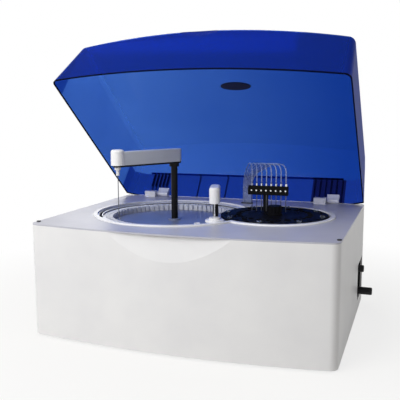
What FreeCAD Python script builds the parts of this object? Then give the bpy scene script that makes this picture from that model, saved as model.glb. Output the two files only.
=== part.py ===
"""Bench-top chemistry analyser: white case, grey deck, hinged blue lid, a ring of cuvettes, a probe
arm, a stirrer, and a wash head over a black reaction rotor.

Millimetres, +Z up, +X to the right and -Y to the front. The origin lies on the standing surface, under
the middle of the whole outline with the lid open.
"""
import FreeCAD, Part
import math
import os

V = FreeCAD.Vector
X_AXIS = V(1, 0, 0)
Y_AXIS = V(0, 1, 0)
Z_AXIS = V(0, 0, 1)

# Where the middle of the case stands from the origin
CASE_X = -21.0
CASE_Y = -28.0

# Case
CASE_WIDTH = 860.0
CASE_DEPTH = 645.0
CASE_BOW = 35.0
CASE_WALL = 5.0
DECK_Z = 326.0
DECK_THICK = 4.0
FOOT_HEIGHT = 6.0
FOOT_RADIUS = 16.0
FOOT_INSET = 60.0
FRONT_CORNER = 24.0
REAR_CORNER = 12.0
FLOOR_THICK = 4.0
FIT_GAP = 0.3
SHAFT_GAP = 0.05
SKIRT_DROP = 14.0
SKIRT_THICK = 3.0

# Shallow smile-shaped scoop at the top of the front
SCOOP_X = -8.0
SCOOP_DROP = 73.0
SCOOP_DEPTH = 12.0
SCOOP_HALF = 180.0

# Lid
LID_GAP = 2.5
LID_HEIGHT = 192.0
LID_WALL = 3.5
LID_CROWN = 24.0
LID_SIDE_LEAN = 11.0
LID_FRONT_LEAN = 68.0
LID_REAR_LEAN = 8.0
LID_REAR_CORNER = 60.0
LID_REAR_CORNER_DEEP = 22.0
LID_EDGE = 22.0
LID_SLOPE_FOOT = 97.0
LID_SLOPE_RUN = 46.0
LID_DIP_DEPTH = 42.0
LID_DIP_HALF = 220.0
LID_DIP_RUN = 6.0
LID_DIP_X = -30.0
LID_OPEN = 39.0
LEDGE_DEEP = 16.0
RIB_THICK = 3.0
RIB_DEEP = 13.0
RIB_PLACES = (-340, -326, -312, -298, -284, 261, 280, 299, 316, 335, 354)
GUSSET_PLACES = (-160.0, -55.0)
OVAL_X = 30.0
OVAL_FROM_HINGE = 350.0
OVAL_LONG = 100.0
OVAL_SHORT = 36.0
OVAL_THICK = 3.0

# Hinges
HINGE_BACK = 16.5
HINGE_RISE = 9.0
HINGE_X = 308.0
KNUCKLE_WIDE = 39.5
KNUCKLE_RADIUS = 8.5
HINGE_PIN_R = 3.0
LEAF_TALL = 24.0
FOOT_PLATE = 26.0
FOOT_PLATE_TALL = 20.0

# Cuvette ring and its round well
RING_X = -112.0
RING_Y = -20.0
WELL_RADIUS = 236.0
RIM_WIDE = 14.0
RIM_TALL = 4.0
RING_OUTER = 218.0
RING_INNER = 190.0
RING_TOP_DROP = 6.0
RING_TALL = 32.0
DRUM_WALL = 6.0
RING_DRUM_TALL = 28.0
CUVETTES = 72
CUVETTE_CIRCLE = 205.0
CUVETTE_WIDE = 8.0
CUVETTE_LONG = 12.0
CUVETTE_DEEP = 30.0
CUVETTE_GAP = 5.0
CUVETTE_GAP_DEEP = 18.0
INNER_PLATE_R = 184.0
INNER_PLATE_DROP = 22.0
INNER_PLATE_THICK = 6.0
GUARD_INNER = 219.5
GUARD_TOP_DROP = 1.0
GUARD_SLOT_INNER = 222.5
GUARD_SLOT_OUTER = 231.0
GUARD_SLOT_HALF = 40.0

# Reagent disc, its drum and its round well
DISC_X = 194.0
DISC_Y = 14.0
DISC_WELL = 166.0
DISC_OUTER = 160.0
DISC_INNER = 79.0
DISC_RISE = 3.0
DISC_THICK = 6.0
DISC_DRUM_OUTER = 86.0
DISC_DRUM_TALL = 53.0
DISC_HOLES = 24
DISC_HOLE_CIRCLE = 106.6
DISC_HOLE_FIRST = 198.6
DISC_HOLE_R = 9.0
CUP_CIRCLE = 145.0
CUP_RADIUS = 7.0
CUP_SEAT = 3.5
CUP_WALL = 1.0
CUP_TALL = 8.0
CENTRE_RADIUS = 78.0
CENTRE_RISE = 2.0
CENTRE_THICK = 6.0
HUB_RADIUS = 25.0
HUB_TALL = 28.0
KNOB_CIRCLE = 126.0
KNOB_RADIUS = 7.0
KNOB_TALL = 5.0
KNOB_TURNS = (62, 92, 140, 213, 240, 280, 318)

# The tub under the deck
TUB_LIP = 7.0
TUB_WALL = 3.0
TUB_FLANGE = 8.0
TUB_FLANGE_TALL = 4.0
TUB_DEPTH = 80.0
TUB_FLOOR = 4.0

# Drives under the wells
PEDESTAL_WALL = 6.0
RING_PEDESTAL_R = 40.0
DISC_PEDESTAL_R = 22.0
SLEEVE_WALL = 8.0
CARRIER_THICK = 5.0
PULLEY_TALL = 12.0
PULLEY_DROP = 92.0
PULLEY_RIM = 20.0
BELT_THICK = 2.0
BELT_TALL = 9.0
MOTOR_SIDE = 56.0
MOTOR_TALL = 60.0
MOTOR_SHAFT_R = 4.0
MOTOR_PULLEY_R = 12.0
MOTOR_REACH = 150.0
RING_MOTOR_TURN = 250.0
DISC_MOTOR_TURN = 290.0
BEARING_TALL = 9.0

# Probe arm
PROBE_REST_TURN = -120.0
PROBE_COLUMN_R = 10.0
PROBE_COLUMN_LOW = 120.0
PROBE_ARM_UNDER = 158.0
PROBE_ARM_TALL = 45.0
PROBE_ARM_HALF = 15.0
PROBE_ARM_TAIL = 24.0
PROBE_HEAD_R = 19.0
PROBE_HEAD_RISE = 6.0
PROBE_PLATE = 5.0
PROBE_COLLAR_R = 15.0
PROBE_COLLAR_TALL = 10.0
PROBE_TIP_RISE = 9.0
PROBE_NEEDLE_R = 1.2
PROBE_SEAT = 12.0

# Mixer
MIXER_X = 40.0
MIXER_Y = -80.0
MIXER_PORT_TURN = -35.0
MIXER_COLUMN_R = 8.0
MIXER_COLUMN_LOW = 28.0
MIXER_BUSH_LOW = 40.0
MIXER_HEAD_UNDER = 52.0
MIXER_HEAD_TALL = 46.0
MIXER_HEAD_HALF = 15.0
MIXER_SPIGOT = 15.0
MIXER_ROD_R = 2.0
MIXER_TIP_RISE = 14.0
MIXER_PADDLE_HALF = 2.4
MIXER_WASH_SWING = -60.0
PORT_FLANGE_R = 27.0
PORT_TOWER_R = 16.0
PORT_BORE_R = 7.0
PORT_FLANGE_TALL = 7.0
PORT_TOWER_TALL = 13.0
WASH_WELL_R = 9.0
WASH_WELL_BORE = 7.0
WASH_WELL_RIM_DROP = 10.0
WASH_WELL_LOW = 45.0

# Wash head over the disc
WASH_COLUMN_X = 155.5
WASH_COLUMN_Y = 65.0
WASH_COLUMN_R = 8.0
WASH_COLUMN_LOW = 40.0
WASH_BAR_Y = 50.0
WASH_BAR_X = 104.0
WASH_BAR_LONG = 124.0
WASH_BAR_UNDER = 56.0
WASH_BAR_TALL = 28.0
WASH_BAR_THICK = 12.0
WASH_NEEDLES = 8
WASH_FIRST_X = 116.0
WASH_STEP = 15.0
WASH_NEEDLE_R = 1.3
WASH_TIP_RISE = 6.0
WASH_NEEDLE_TOP = 96.0
FERRULE_RADIUS = 3.4
FERRULE_TALL = 7.0
SCREW_RADIUS = 2.4
SCREW_OUT = 1.6
TUBE_RADIUS = 1.6
TUBE_RISE = 50.0
BUNDLE_X = 52.0
BUNDLE_Y = 230.0
BUNDLE_STEP = 3.6
BUNDLE_TOP = 92.0
BUNDLE_TAIL = 40.0
SLOT_ROOM = 0.4
GROMMET_WALL = 3.0

# Power supply, control board and syringe pump inside the case
SUPPLY_FROM_SIDE = 50.0
SUPPLY_FROM_BACK = 72.5
SUPPLY_LONG = 200.0
SUPPLY_WIDE = 130.0
SUPPLY_TALL = 60.0
BOARD_FROM_SIDE = 50.0
BOARD_FROM_BACK = 82.5
BOARD_SIDE = 180.0
BOARD_THICK = 2.0
BOARD_SPACER = 10.0
BOARD_SPACER_R = 4.0
BOARD_CHIPS = ((30.0, 30.0, 3.0), (110.0, 90.0, 6.0))
CHIP_SIDE = 40.0
PUMP_FROM_SIDE = 100.0
PUMP_FROM_FRONT = 62.5
PUMP_WIDE = 80.0
PUMP_DEEP = 60.0
PUMP_TALL = 160.0
BARREL_OUT = 15.0
BARREL_R = 8.0
BARREL_LOW = 60.0
BARREL_HIGH = 130.0
CLAMP_TALL = 10.0
CLAMP_HALF = 10.0

# Connector panel on the right side
PANEL_FROM_BACK = 22.5
PANEL_LONG = 145.0
PANEL_Y1 = CASE_DEPTH / 2 - PANEL_FROM_BACK
PANEL_Y0 = PANEL_Y1 - PANEL_LONG
PANEL_Z0 = 44.0
PANEL_Z1 = 158.0
PANEL_DEEP = 14.0
PANEL_THICK = 3.0
UPPER_FITTING_Y = PANEL_Y0 + 27.0
UPPER_FITTING_Z = 142.0
UPPER_FITTING_R = 11.0
UPPER_FITTING_OUT = 16.0
LOWER_FITTING_Y = PANEL_Y0 + 57.0
LOWER_FITTING_Z = 62.0
LOWER_FITTING_R = 12.0
LOWER_FITTING_OUT = 41.0

# Back of the case
INLET_FROM_SIDE = 100.0
INLET_X = CASE_WIDTH / 2 - INLET_FROM_SIDE
INLET_Z = 70.0
INLET_WIDE = 50.0
INLET_TALL = 60.0
ROCKER_WIDE = 20.0
ROCKER_TALL = 14.0
ROCKER_TURN = 12.0
FAN_FROM_SIDE = 150.0
FAN_X = FAN_FROM_SIDE - CASE_WIDTH / 2
FAN_Z = 190.0
FAN_RADIUS = 54.0
FAN_HUB = 18.0
FAN_BLADES = 7
FAN_SIDE = 120.0
FAN_THICK = 25.0
SLOT_COUNT = 11
SLOT_TALL = 5.0
SLOT_PITCH = 10.0


def block(x0, y0, z0, x1, y1, z1):
    """Box between two corners."""
    return Part.makeBox(x1 - x0, y1 - y0, z1 - z0, V(x0, y0, z0))


def post(x, y, z0, z1, radius):
    """Upright cylinder."""
    return Part.makeCylinder(radius, z1 - z0, V(x, y, z0), Z_AXIS)


def tube(x, y, z0, z1, outer, inner):
    """Upright tube."""
    return post(x, y, z0, z1, outer).cut(post(x, y, z0, z1, inner))


def bar(x0, x1, y, z, radius):
    """Cylinder along X."""
    return Part.makeCylinder(radius, x1 - x0, V(x0, y, z), X_AXIS)


def polar(x, y, radius, degrees):
    """Point at a radius and an angle about a centre."""
    angle = math.radians(degrees)
    return x + radius * math.cos(angle), y + radius * math.sin(angle)


def turned(shape, x, y, degrees):
    """Copy turned about the upright line through x, y."""
    copy = shape.copy()
    copy.rotate(V(x, y, 0), Z_AXIS, degrees)
    return copy


def fuse_all(shapes):
    """One shape out of several that touch."""
    first = shapes[0]
    return first.multiFuse(shapes[1:]) if len(shapes) > 1 else first


def capsule(x0, y0, x1, y1, half, z0, z1):
    """Upright prism with a straight middle and two round ends."""
    length = math.hypot(x1 - x0, y1 - y0)
    turn = math.degrees(math.atan2(y1 - y0, x1 - x0))
    body = Part.makeBox(length, 2 * half, z1 - z0, V(x0, y0 - half, z0))
    body.rotate(V(x0, y0, z0), Z_AXIS, turn)
    return fuse_all([body, post(x0, y0, z0, z1, half), post(x1, y1, z0, z1, half)])


def outline(half_width, front, rear, bow, z):
    """Closed plan outline whose front edge is one arc, front and rear being the side edges' ends."""
    left_front = V(-half_width, front, z)
    right_front = V(half_width, front, z)
    left_rear = V(-half_width, rear, z)
    right_rear = V(half_width, rear, z)
    edges = [
        Part.Arc(left_front, V(0, front - bow, z), right_front).toShape(),
        Part.LineSegment(right_front, right_rear).toShape(),
        Part.LineSegment(right_rear, left_rear).toShape(),
        Part.LineSegment(left_rear, left_front).toShape(),
    ]
    return Part.Wire(edges)


def corner_edges(solid, front):
    """The standing corner edges that lie at the front or at the rear."""
    found = []
    for edge in solid.Edges:
        low = edge.Vertexes[0].Point
        high = edge.Vertexes[-1].Point
        if abs(low.z - high.z) > 0.7 * edge.Length and (low.y < 0) == front:
            found.append(edge)
    return found


def rounded(solid, front_radius, rear_radius):
    """Solid with its standing corners rounded."""
    solid = solid.makeFillet(front_radius, corner_edges(solid, True))
    return solid.makeFillet(rear_radius, corner_edges(solid, False))


def smile_cutter(offset):
    """Large leaning cylinder that cuts the scoop into the front, offset into the wall."""
    front = -CASE_DEPTH / 2 - CASE_BOW
    bow_radius = ((CASE_WIDTH / 2) ** 2 + CASE_BOW**2) / (2 * CASE_BOW)
    bow_share = SCOOP_HALF**2 / (2 * bow_radius)
    radius = SCOOP_HALF**2 / (2 * max(SCOOP_DEPTH - bow_share, 1.0))
    lean = math.degrees(math.atan2(SCOOP_DEPTH, SCOOP_DROP))
    long = 4 * SCOOP_DROP
    base = V(SCOOP_X, front - radius, DECK_Z - SCOOP_DROP - long / 2)
    cutter = Part.makeCylinder(radius + offset, long, base, Z_AXIS)
    pivot = V(SCOOP_X, front, DECK_Z - SCOOP_DROP)
    cutter.rotate(pivot, X_AXIS, -lean)
    return cutter


def case_form(inset, z0, z1):
    """The case's outer form between two heights, drawn in by an inset."""
    wire = outline(
        CASE_WIDTH / 2 - inset, -CASE_DEPTH / 2 + inset, CASE_DEPTH / 2 - inset, CASE_BOW, z0
    )
    solid = Part.Face(wire).extrude(V(0, 0, z1 - z0))
    solid = rounded(solid, FRONT_CORNER - inset, REAR_CORNER - inset)
    return solid.cut(smile_cutter(inset))


def wells(grow, z0, z1):
    """The two overlapping round wells as one prism."""
    left = post(RING_X, RING_Y, z0, z1, WELL_RADIUS + grow)
    right = post(DISC_X, DISC_Y, z0, z1, DISC_WELL + grow)
    return left.fuse(right).removeSplitter()


def make_housing():
    """White case wall with the side recess, the back vents and the back cut-outs."""
    top = DECK_Z - DECK_THICK
    shell = case_form(0, FOOT_HEIGHT, top)
    hollow = case_form(CASE_WALL, FOOT_HEIGHT - 1, top + 1)
    shell = shell.cut(hollow)
    side = CASE_WIDTH / 2
    recess = block(side - CASE_WALL - 1, PANEL_Y0, PANEL_Z0, side + 1, PANEL_Y1, PANEL_Z1)
    back = CASE_DEPTH / 2
    inlet = block(
        INLET_X - INLET_WIDE / 2,
        back - CASE_WALL - 1,
        INLET_Z - INLET_TALL / 2,
        INLET_X + INLET_WIDE / 2,
        back + 1,
        INLET_Z + INLET_TALL / 2,
    )
    cuts = [recess, inlet]
    for i in range(SLOT_COUNT):
        z = FAN_Z + (i - (SLOT_COUNT - 1) / 2) * SLOT_PITCH
        reach = math.sqrt(max((FAN_RADIUS + 4) ** 2 - (z - FAN_Z) ** 2, 100))
        cuts.append(
            block(
                FAN_X - reach,
                back - CASE_WALL - 1,
                z - SLOT_TALL / 2,
                FAN_X + reach,
                back + 1,
                z + SLOT_TALL / 2,
            )
        )
    return shell.cut(fuse_all(cuts))


def make_deck():
    """Grey deck plate with a locating skirt inside the case wall."""
    under = DECK_Z - DECK_THICK
    plate = case_form(0, under, DECK_Z)
    skirt_out = CASE_WALL + FIT_GAP
    skirt = case_form(skirt_out, under - SKIRT_DROP, under)
    inside = case_form(skirt_out + SKIRT_THICK, under - SKIRT_DROP - 1, under + 1)
    deck = plate.fuse(skirt.cut(inside))
    opening = wells(0, under - 1, DECK_Z + 1)
    slot = bundle_slot(GROMMET_WALL, under - 1, DECK_Z + 1)
    return deck.cut(opening).cut(slot)


def make_rim_trim():
    """White bead round the edge of both wells."""
    rim = wells(RIM_WIDE, DECK_Z, DECK_Z + RIM_TALL)
    rim = rim.makeFillet(RIM_TALL * 0.6, rim_edges(rim))
    return rim.cut(wells(0, DECK_Z - 1, DECK_Z + RIM_TALL + 1))


def rim_edges(rim):
    """The top edges of the raised rim."""
    top = DECK_Z + RIM_TALL
    return [e for e in rim.Edges if abs(e.BoundBox.ZMin - top) < 0.01 and abs(e.BoundBox.ZMax - top) < 0.01]


def bundle_slot(wall, z0, z1):
    """Long round-ended prism where the tube bundle slides, with a wall added round it."""
    half = BUNDLE_STEP * (WASH_NEEDLES - 1) / 2
    width = TUBE_RADIUS + SLOT_ROOM + wall
    left = BUNDLE_X - half
    right = BUNDLE_X + half
    return capsule(left, BUNDLE_Y, right, BUNDLE_Y, width, z0, z1)


def make_grommet():
    """Black lip round the tube slot, set into the deck."""
    low = DECK_Z - DECK_THICK
    body = bundle_slot(GROMMET_WALL, low, DECK_Z)
    lip = bundle_slot(GROMMET_WALL + 2.5, DECK_Z, DECK_Z + 2.5)
    return body.fuse(lip).cut(bundle_slot(0, low - 1, DECK_Z + 4))


def make_tub():
    """Dark well under both openings, hung under the deck by its flange."""
    top = DECK_Z - DECK_THICK
    floor = DECK_Z - TUB_DEPTH
    wall = wells(TUB_WALL - TUB_LIP, floor - TUB_FLOOR, top)
    flange = wells(TUB_FLANGE, top - TUB_FLANGE_TALL, top)
    tub = wall.fuse(flange).cut(wells(-TUB_LIP, floor, top + 1))
    holes = []
    for x, y, pedestal in ((RING_X, RING_Y, RING_PEDESTAL_R), (DISC_X, DISC_Y, DISC_PEDESTAL_R)):
        holes.append(post(x, y, floor - TUB_FLOOR - 1, floor + 1, pedestal + SLEEVE_WALL + 2))
    return tub.cut(Part.makeCompound(holes))


def ring_sector(inner, outer, start, end, z0, z1):
    """Upright piece of a ring about the left well's middle, between two angles."""
    span = Part.makeCylinder(outer, z1 - z0, V(RING_X, RING_Y, z0), Z_AXIS, end - start)
    span.rotate(V(RING_X, RING_Y, z0), Z_AXIS, start)
    return span.cut(post(RING_X, RING_Y, z0 - 1, z1 + 1, inner))


def make_guard():
    """Light ring on the tub's edge, open over the left side and clear of the disc."""
    top = DECK_Z - GUARD_TOP_DROP
    low = DECK_Z - DECK_THICK
    guard = tube(RING_X, RING_Y, low, top, WELL_RADIUS - FIT_GAP, GUARD_INNER)
    guard = guard.cut(post(DISC_X, DISC_Y, low - 1, top + 1, DISC_WELL - TUB_LIP + 4))
    window = ring_sector(
        GUARD_SLOT_INNER,
        GUARD_SLOT_OUTER,
        180 - GUARD_SLOT_HALF,
        180 + GUARD_SLOT_HALF,
        low - 1,
        top + 1,
    )
    guard = guard.cut(window)
    return sorted(guard.Solids, key=lambda solid: -solid.Volume)[0]


def port_place():
    """Where the mixer's rod stands over the ring."""
    return polar(RING_X, RING_Y, CUVETTE_CIRCLE, MIXER_PORT_TURN)


def wash_well_place():
    """Where the mixer's rod stands once the mixer is swung to its rinsing cup."""
    x, y = port_place()
    reach = math.hypot(x - MIXER_X, y - MIXER_Y)
    turn = math.degrees(math.atan2(y - MIXER_Y, x - MIXER_X))
    return polar(MIXER_X, MIXER_Y, reach, turn + MIXER_WASH_SWING)


def make_pedestal(x, y, radius, top):
    """Fixed hollow post on the floor plate, which carries a centre plate."""
    return tube(x, y, FOOT_HEIGHT + FLOOR_THICK, top, radius, radius - PEDESTAL_WALL)


def make_carrier(x, y, pedestal, outer, top):
    """Turning spider disc on a long sleeve round the pedestal."""
    bore = pedestal + SHAFT_GAP
    sleeve_r = pedestal + SLEEVE_WALL
    low = DECK_Z - PULLEY_DROP
    sleeve = post(x, y, low, top, sleeve_r)
    disc = post(x, y, top - CARRIER_THICK, top, outer)
    inner = outer - 2 * DRUM_WALL
    middle = (sleeve_r + inner) / 2
    hole = min((inner - sleeve_r) / 2 - 4, middle / 2 - 6)
    windows = []
    for i in range(6):
        hx, hy = polar(x, y, middle, 60 * i + 30)
        windows.append(post(hx, hy, top - CARRIER_THICK - 1, top + 1, hole))
    disc = disc.cut(Part.makeCompound(windows))
    return sleeve.fuse(disc).cut(post(x, y, low - 1, top + 1, bore))


def make_ring_carrier():
    """Spider, sleeve and drum that carry the cuvette ring."""
    ring_low = DECK_Z - RING_TOP_DROP - RING_TALL
    top = ring_low - RING_DRUM_TALL
    outer = RING_INNER + DRUM_WALL
    carrier = make_carrier(RING_X, RING_Y, RING_PEDESTAL_R, outer, top)
    return carrier.fuse(tube(RING_X, RING_Y, top, ring_low, outer, RING_INNER))


def make_disc_drum():
    """Turntable, sleeve and drum that carry the reagent disc."""
    disc_low = DECK_Z + DISC_RISE - DISC_THICK
    top = disc_low - DISC_DRUM_TALL
    inner = DISC_DRUM_OUTER - DRUM_WALL
    carrier = make_carrier(DISC_X, DISC_Y, DISC_PEDESTAL_R, DISC_DRUM_OUTER, top)
    return carrier.fuse(tube(DISC_X, DISC_Y, top, disc_low, DISC_DRUM_OUTER, inner))


def make_pulley(x, y, pedestal):
    """Large toothed pulley clamped under the sleeve."""
    high = DECK_Z - PULLEY_DROP
    outer = pedestal + SLEEVE_WALL + PULLEY_RIM
    return tube(x, y, high - PULLEY_TALL, high, outer, pedestal + SHAFT_GAP)


def make_bearing(x, y, pedestal):
    """Thrust bearing ring under the pulley, seated on a collar of the pedestal."""
    high = DECK_Z - PULLEY_DROP - PULLEY_TALL
    return tube(x, y, high - BEARING_TALL, high, pedestal + 10, pedestal)


def motor_place(x, y, degrees):
    """Motor axis beside a pedestal."""
    return polar(x, y, MOTOR_REACH, degrees)


def make_motor(x, y):
    """Stepping motor with its shaft, standing on a bracket on the floor plate."""
    top = DECK_Z - PULLEY_DROP - PULLEY_TALL - 4
    half = MOTOR_SIDE / 2
    low = top - MOTOR_TALL
    body = block(x - half, y - half, low, x + half, y + half, top)
    shaft = post(x, y, top, DECK_Z - PULLEY_DROP, MOTOR_SHAFT_R)
    return body.fuse(shaft)


def make_motor_bracket(x, y):
    """Folded bracket that holds a motor up from the floor plate."""
    top = DECK_Z - PULLEY_DROP - PULLEY_TALL - 4 - MOTOR_TALL
    half = MOTOR_SIDE / 2
    floor = FOOT_HEIGHT + FLOOR_THICK
    table = block(x - half, y - half, top - 3, x + half, y + half, top)
    left = block(x - half, y - half, floor, x - half + 3, y + half, top - 3)
    right = block(x + half - 3, y - half, floor, x + half, y + half, top - 3)
    return fuse_all([table, left, right])


def make_motor_pulley(x, y):
    """Small pulley on the motor shaft."""
    high = DECK_Z - PULLEY_DROP
    return tube(x, y, high - PULLEY_TALL, high, MOTOR_PULLEY_R, MOTOR_SHAFT_R)


def make_belt(x, y, pedestal, mx, my):
    """Closed flat belt round the large and the small pulley."""
    big = pedestal + SLEEVE_WALL + PULLEY_RIM + FIT_GAP
    small = MOTOR_PULLEY_R
    z0 = DECK_Z - PULLEY_DROP - PULLEY_TALL / 2 - BELT_TALL / 2
    outer = belt_form(x, y, big + BELT_THICK, mx, my, small + BELT_THICK, z0, z0 + BELT_TALL)
    inner = belt_form(x, y, big, mx, my, small, z0 - 1, z0 + BELT_TALL + 1)
    return outer.cut(inner)


def belt_form(x, y, big, mx, my, small, z0, z1):
    """Prism round two circles and the straight runs between them."""
    reach = math.hypot(mx - x, my - y)
    turn = math.degrees(math.atan2(my - y, mx - x))
    lean = math.acos((big - small) / reach)
    points = [
        V(x + big * math.cos(lean), y + big * math.sin(lean), z0),
        V(x + reach + small * math.cos(lean), y + small * math.sin(lean), z0),
        V(x + reach + small * math.cos(lean), y - small * math.sin(lean), z0),
        V(x + big * math.cos(lean), y - big * math.sin(lean), z0),
    ]
    web = Part.Face(Part.makePolygon(points + [points[0]])).extrude(V(0, 0, z1 - z0))
    form = fuse_all([web, post(x, y, z0, z1, big), post(x + reach, y, z0, z1, small)])
    form.rotate(V(x, y, 0), Z_AXIS, turn)
    return form


def make_cuvette_ring():
    """Ring of square cuvettes with gaps between their inner walls."""
    top = DECK_Z - RING_TOP_DROP
    ring = tube(RING_X, RING_Y, top - RING_TALL, top, RING_OUTER, RING_INNER)
    step = 360.0 / CUVETTES
    mid = RING_X + CUVETTE_CIRCLE
    pocket = block(
        mid - CUVETTE_LONG / 2,
        RING_Y - CUVETTE_WIDE / 2,
        top - CUVETTE_DEEP,
        mid + CUVETTE_LONG / 2,
        RING_Y + CUVETTE_WIDE / 2,
        top + 1,
    )
    gap = block(
        RING_X + RING_INNER - 2,
        RING_Y - CUVETTE_GAP / 2,
        top - CUVETTE_GAP_DEEP,
        RING_X + RING_INNER + 7,
        RING_Y + CUVETTE_GAP / 2,
        top + 1,
    )
    cuts = []
    for i in range(CUVETTES):
        angle = PROBE_REST_TURN + i * step
        cuts.append(turned(pocket, RING_X, RING_Y, angle))
        cuts.append(turned(gap, RING_X, RING_Y, angle + step / 2))
    return ring.cut(Part.makeCompound(cuts))


def make_inner_plate():
    """Fixed blue-grey plate inside the ring, bored for both columns and the rinsing cup."""
    top = DECK_Z - INNER_PLATE_DROP
    low = top - INNER_PLATE_THICK
    bush_low = DECK_Z - MIXER_BUSH_LOW
    plate = post(RING_X, RING_Y, low, top, INNER_PLATE_R)
    bush = post(MIXER_X, MIXER_Y, bush_low, top + 3, MIXER_COLUMN_R + 4)
    collar = post(RING_X, RING_Y, top, top + 4, PROBE_COLUMN_R + 9)
    plate = plate.multiFuse([bush, collar])
    wx, wy = wash_well_place()
    bores = [
        post(RING_X, RING_Y, low - 1, top + 6, PROBE_COLUMN_R + SHAFT_GAP),
        post(MIXER_X, MIXER_Y, bush_low - 1, top + 6, MIXER_COLUMN_R + SHAFT_GAP),
        post(wx, wy, low - 1, top + 1, WASH_WELL_R),
    ]
    return plate.cut(Part.makeCompound(bores))


def prism(x, y, sides, radius, z0, z1):
    """Upright prism with a regular outline."""
    points = [V(*polar(x, y, radius, 360.0 * i / sides), z0) for i in range(sides)]
    return Part.Face(Part.makePolygon(points + [points[0]])).extrude(V(0, 0, z1 - z0))


def disc_hole_turns():
    """Angles of the disc's inner holes."""
    return [DISC_HOLE_FIRST + i * 360.0 / DISC_HOLES for i in range(DISC_HOLES)]


def cup_places():
    """Centres of the cup seats near the disc's edge, between the inner holes."""
    half = 180.0 / DISC_HOLES
    return [polar(DISC_X, DISC_Y, CUP_CIRCLE, turn + half) for turn in disc_hole_turns()]


def make_disc():
    """Black turning disc with a circle of through holes and a circle of shallow cup seats."""
    high = DECK_Z + DISC_RISE
    low = high - DISC_THICK
    disc = tube(DISC_X, DISC_Y, low, high, DISC_OUTER, DISC_INNER)
    top_edges = [e for e in disc.Edges if e.BoundBox.ZMin > high - 0.01]
    rim = [e for e in top_edges if e.BoundBox.XLength > 2 * DISC_OUTER - 1]
    disc = disc.makeFillet(1.5, rim)
    cuts = []
    for turn in disc_hole_turns():
        x, y = polar(DISC_X, DISC_Y, DISC_HOLE_CIRCLE, turn)
        cuts.append(post(x, y, low - 1, high + 1, DISC_HOLE_R))
    for x, y in cup_places():
        cuts.append(post(x, y, high - CUP_SEAT, high + 1, CUP_RADIUS))
    return disc.cut(Part.makeCompound(cuts))


def make_cups():
    """Clear low cups standing in every third seat."""
    low = DECK_Z + DISC_RISE - CUP_SEAT
    cups = []
    for x, y in cup_places()[1::3]:
        body = post(x, y, low, low + CUP_TALL - 1, CUP_RADIUS - FIT_GAP)
        lip = post(x, y, low + CUP_TALL - 2, low + CUP_TALL, CUP_RADIUS + 1)
        bore = post(x, y, low + CUP_WALL, low + CUP_TALL + 1, CUP_RADIUS - FIT_GAP - CUP_WALL)
        cups.append(body.fuse(lip).cut(bore))
    return cups


def make_disc_centre():
    """Fixed middle plate of the disc, bored for the wash column, with a catch hole under each needle."""
    high = DECK_Z + CENTRE_RISE
    low = high - CENTRE_THICK
    bush_low = DECK_Z - WASH_COLUMN_LOW
    plate = post(DISC_X, DISC_Y, low, high, CENTRE_RADIUS)
    bush = post(WASH_COLUMN_X, WASH_COLUMN_Y, bush_low, low, WASH_COLUMN_R + 3)
    plate = plate.fuse(bush)
    cuts = [post(WASH_COLUMN_X, WASH_COLUMN_Y, bush_low - 1, high + 1, WASH_COLUMN_R + SHAFT_GAP)]
    for x in needle_places()[1:]:
        cuts.append(post(x, WASH_BAR_Y, high - 4, high + 1, 4.0))
    return plate.cut(Part.makeCompound(cuts))


def make_hub():
    """Ribbed hub knob in the middle of the disc."""
    base = DECK_Z + CENTRE_RISE
    high = base + HUB_TALL
    skirt = post(DISC_X, DISC_Y, base, base + 5, HUB_RADIUS)
    knob = post(DISC_X, DISC_Y, base + 5, high, HUB_RADIUS - 3)
    knob = knob.makeFillet(2.0, [e for e in knob.Edges if e.BoundBox.ZMin > high - 0.01])
    grooves = []
    for i in range(12):
        x, y = polar(DISC_X, DISC_Y, HUB_RADIUS - 1, 30 * i)
        grooves.append(prism(x, y, 6, 4.0, base + 8, high + 1))
    return skirt.fuse(knob.cut(Part.makeCompound(grooves)))


def make_knobs():
    """Small eight-sided thumb screws on the disc."""
    base = DECK_Z + DISC_RISE
    knobs = []
    for degrees in KNOB_TURNS:
        x, y = polar(DISC_X, DISC_Y, KNOB_CIRCLE, degrees)
        knobs.append(prism(x, y, 8, KNOB_RADIUS, base, base + KNOB_TALL))
    return knobs


def probe_point(reach):
    """Point along the probe arm at rest."""
    return polar(RING_X, RING_Y, reach, PROBE_REST_TURN)


def make_probe_column():
    """Black column that slides in the inner plate and the hollow pedestal."""
    low = DECK_Z - PROBE_COLUMN_LOW
    return post(RING_X, RING_Y, low, DECK_Z + PROBE_ARM_UNDER, PROBE_COLUMN_R)


def probe_ends():
    """Plan of the probe arm's tail and of its needle."""
    return probe_point(PROBE_ARM_HALF - PROBE_ARM_TAIL) + probe_point(CUVETTE_CIRCLE)


def make_probe_plate():
    """Black plate under the arm, with a collar round the column."""
    high = DECK_Z + PROBE_ARM_UNDER
    plate = capsule(*probe_ends(), PROBE_ARM_HALF - 1, high - PROBE_PLATE, high)
    low = high - PROBE_PLATE - PROBE_COLLAR_TALL
    collar = post(RING_X, RING_Y, low, high - PROBE_PLATE, PROBE_COLLAR_R)
    bore = post(RING_X, RING_Y, low - 1, high + 1, PROBE_COLUMN_R + SHAFT_GAP)
    tip_x, tip_y = probe_point(CUVETTE_CIRCLE)
    seat = post(tip_x, tip_y, low - 1, high + 1, PROBE_NEEDLE_R)
    return plate.fuse(collar).cut(bore).cut(seat)


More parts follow.
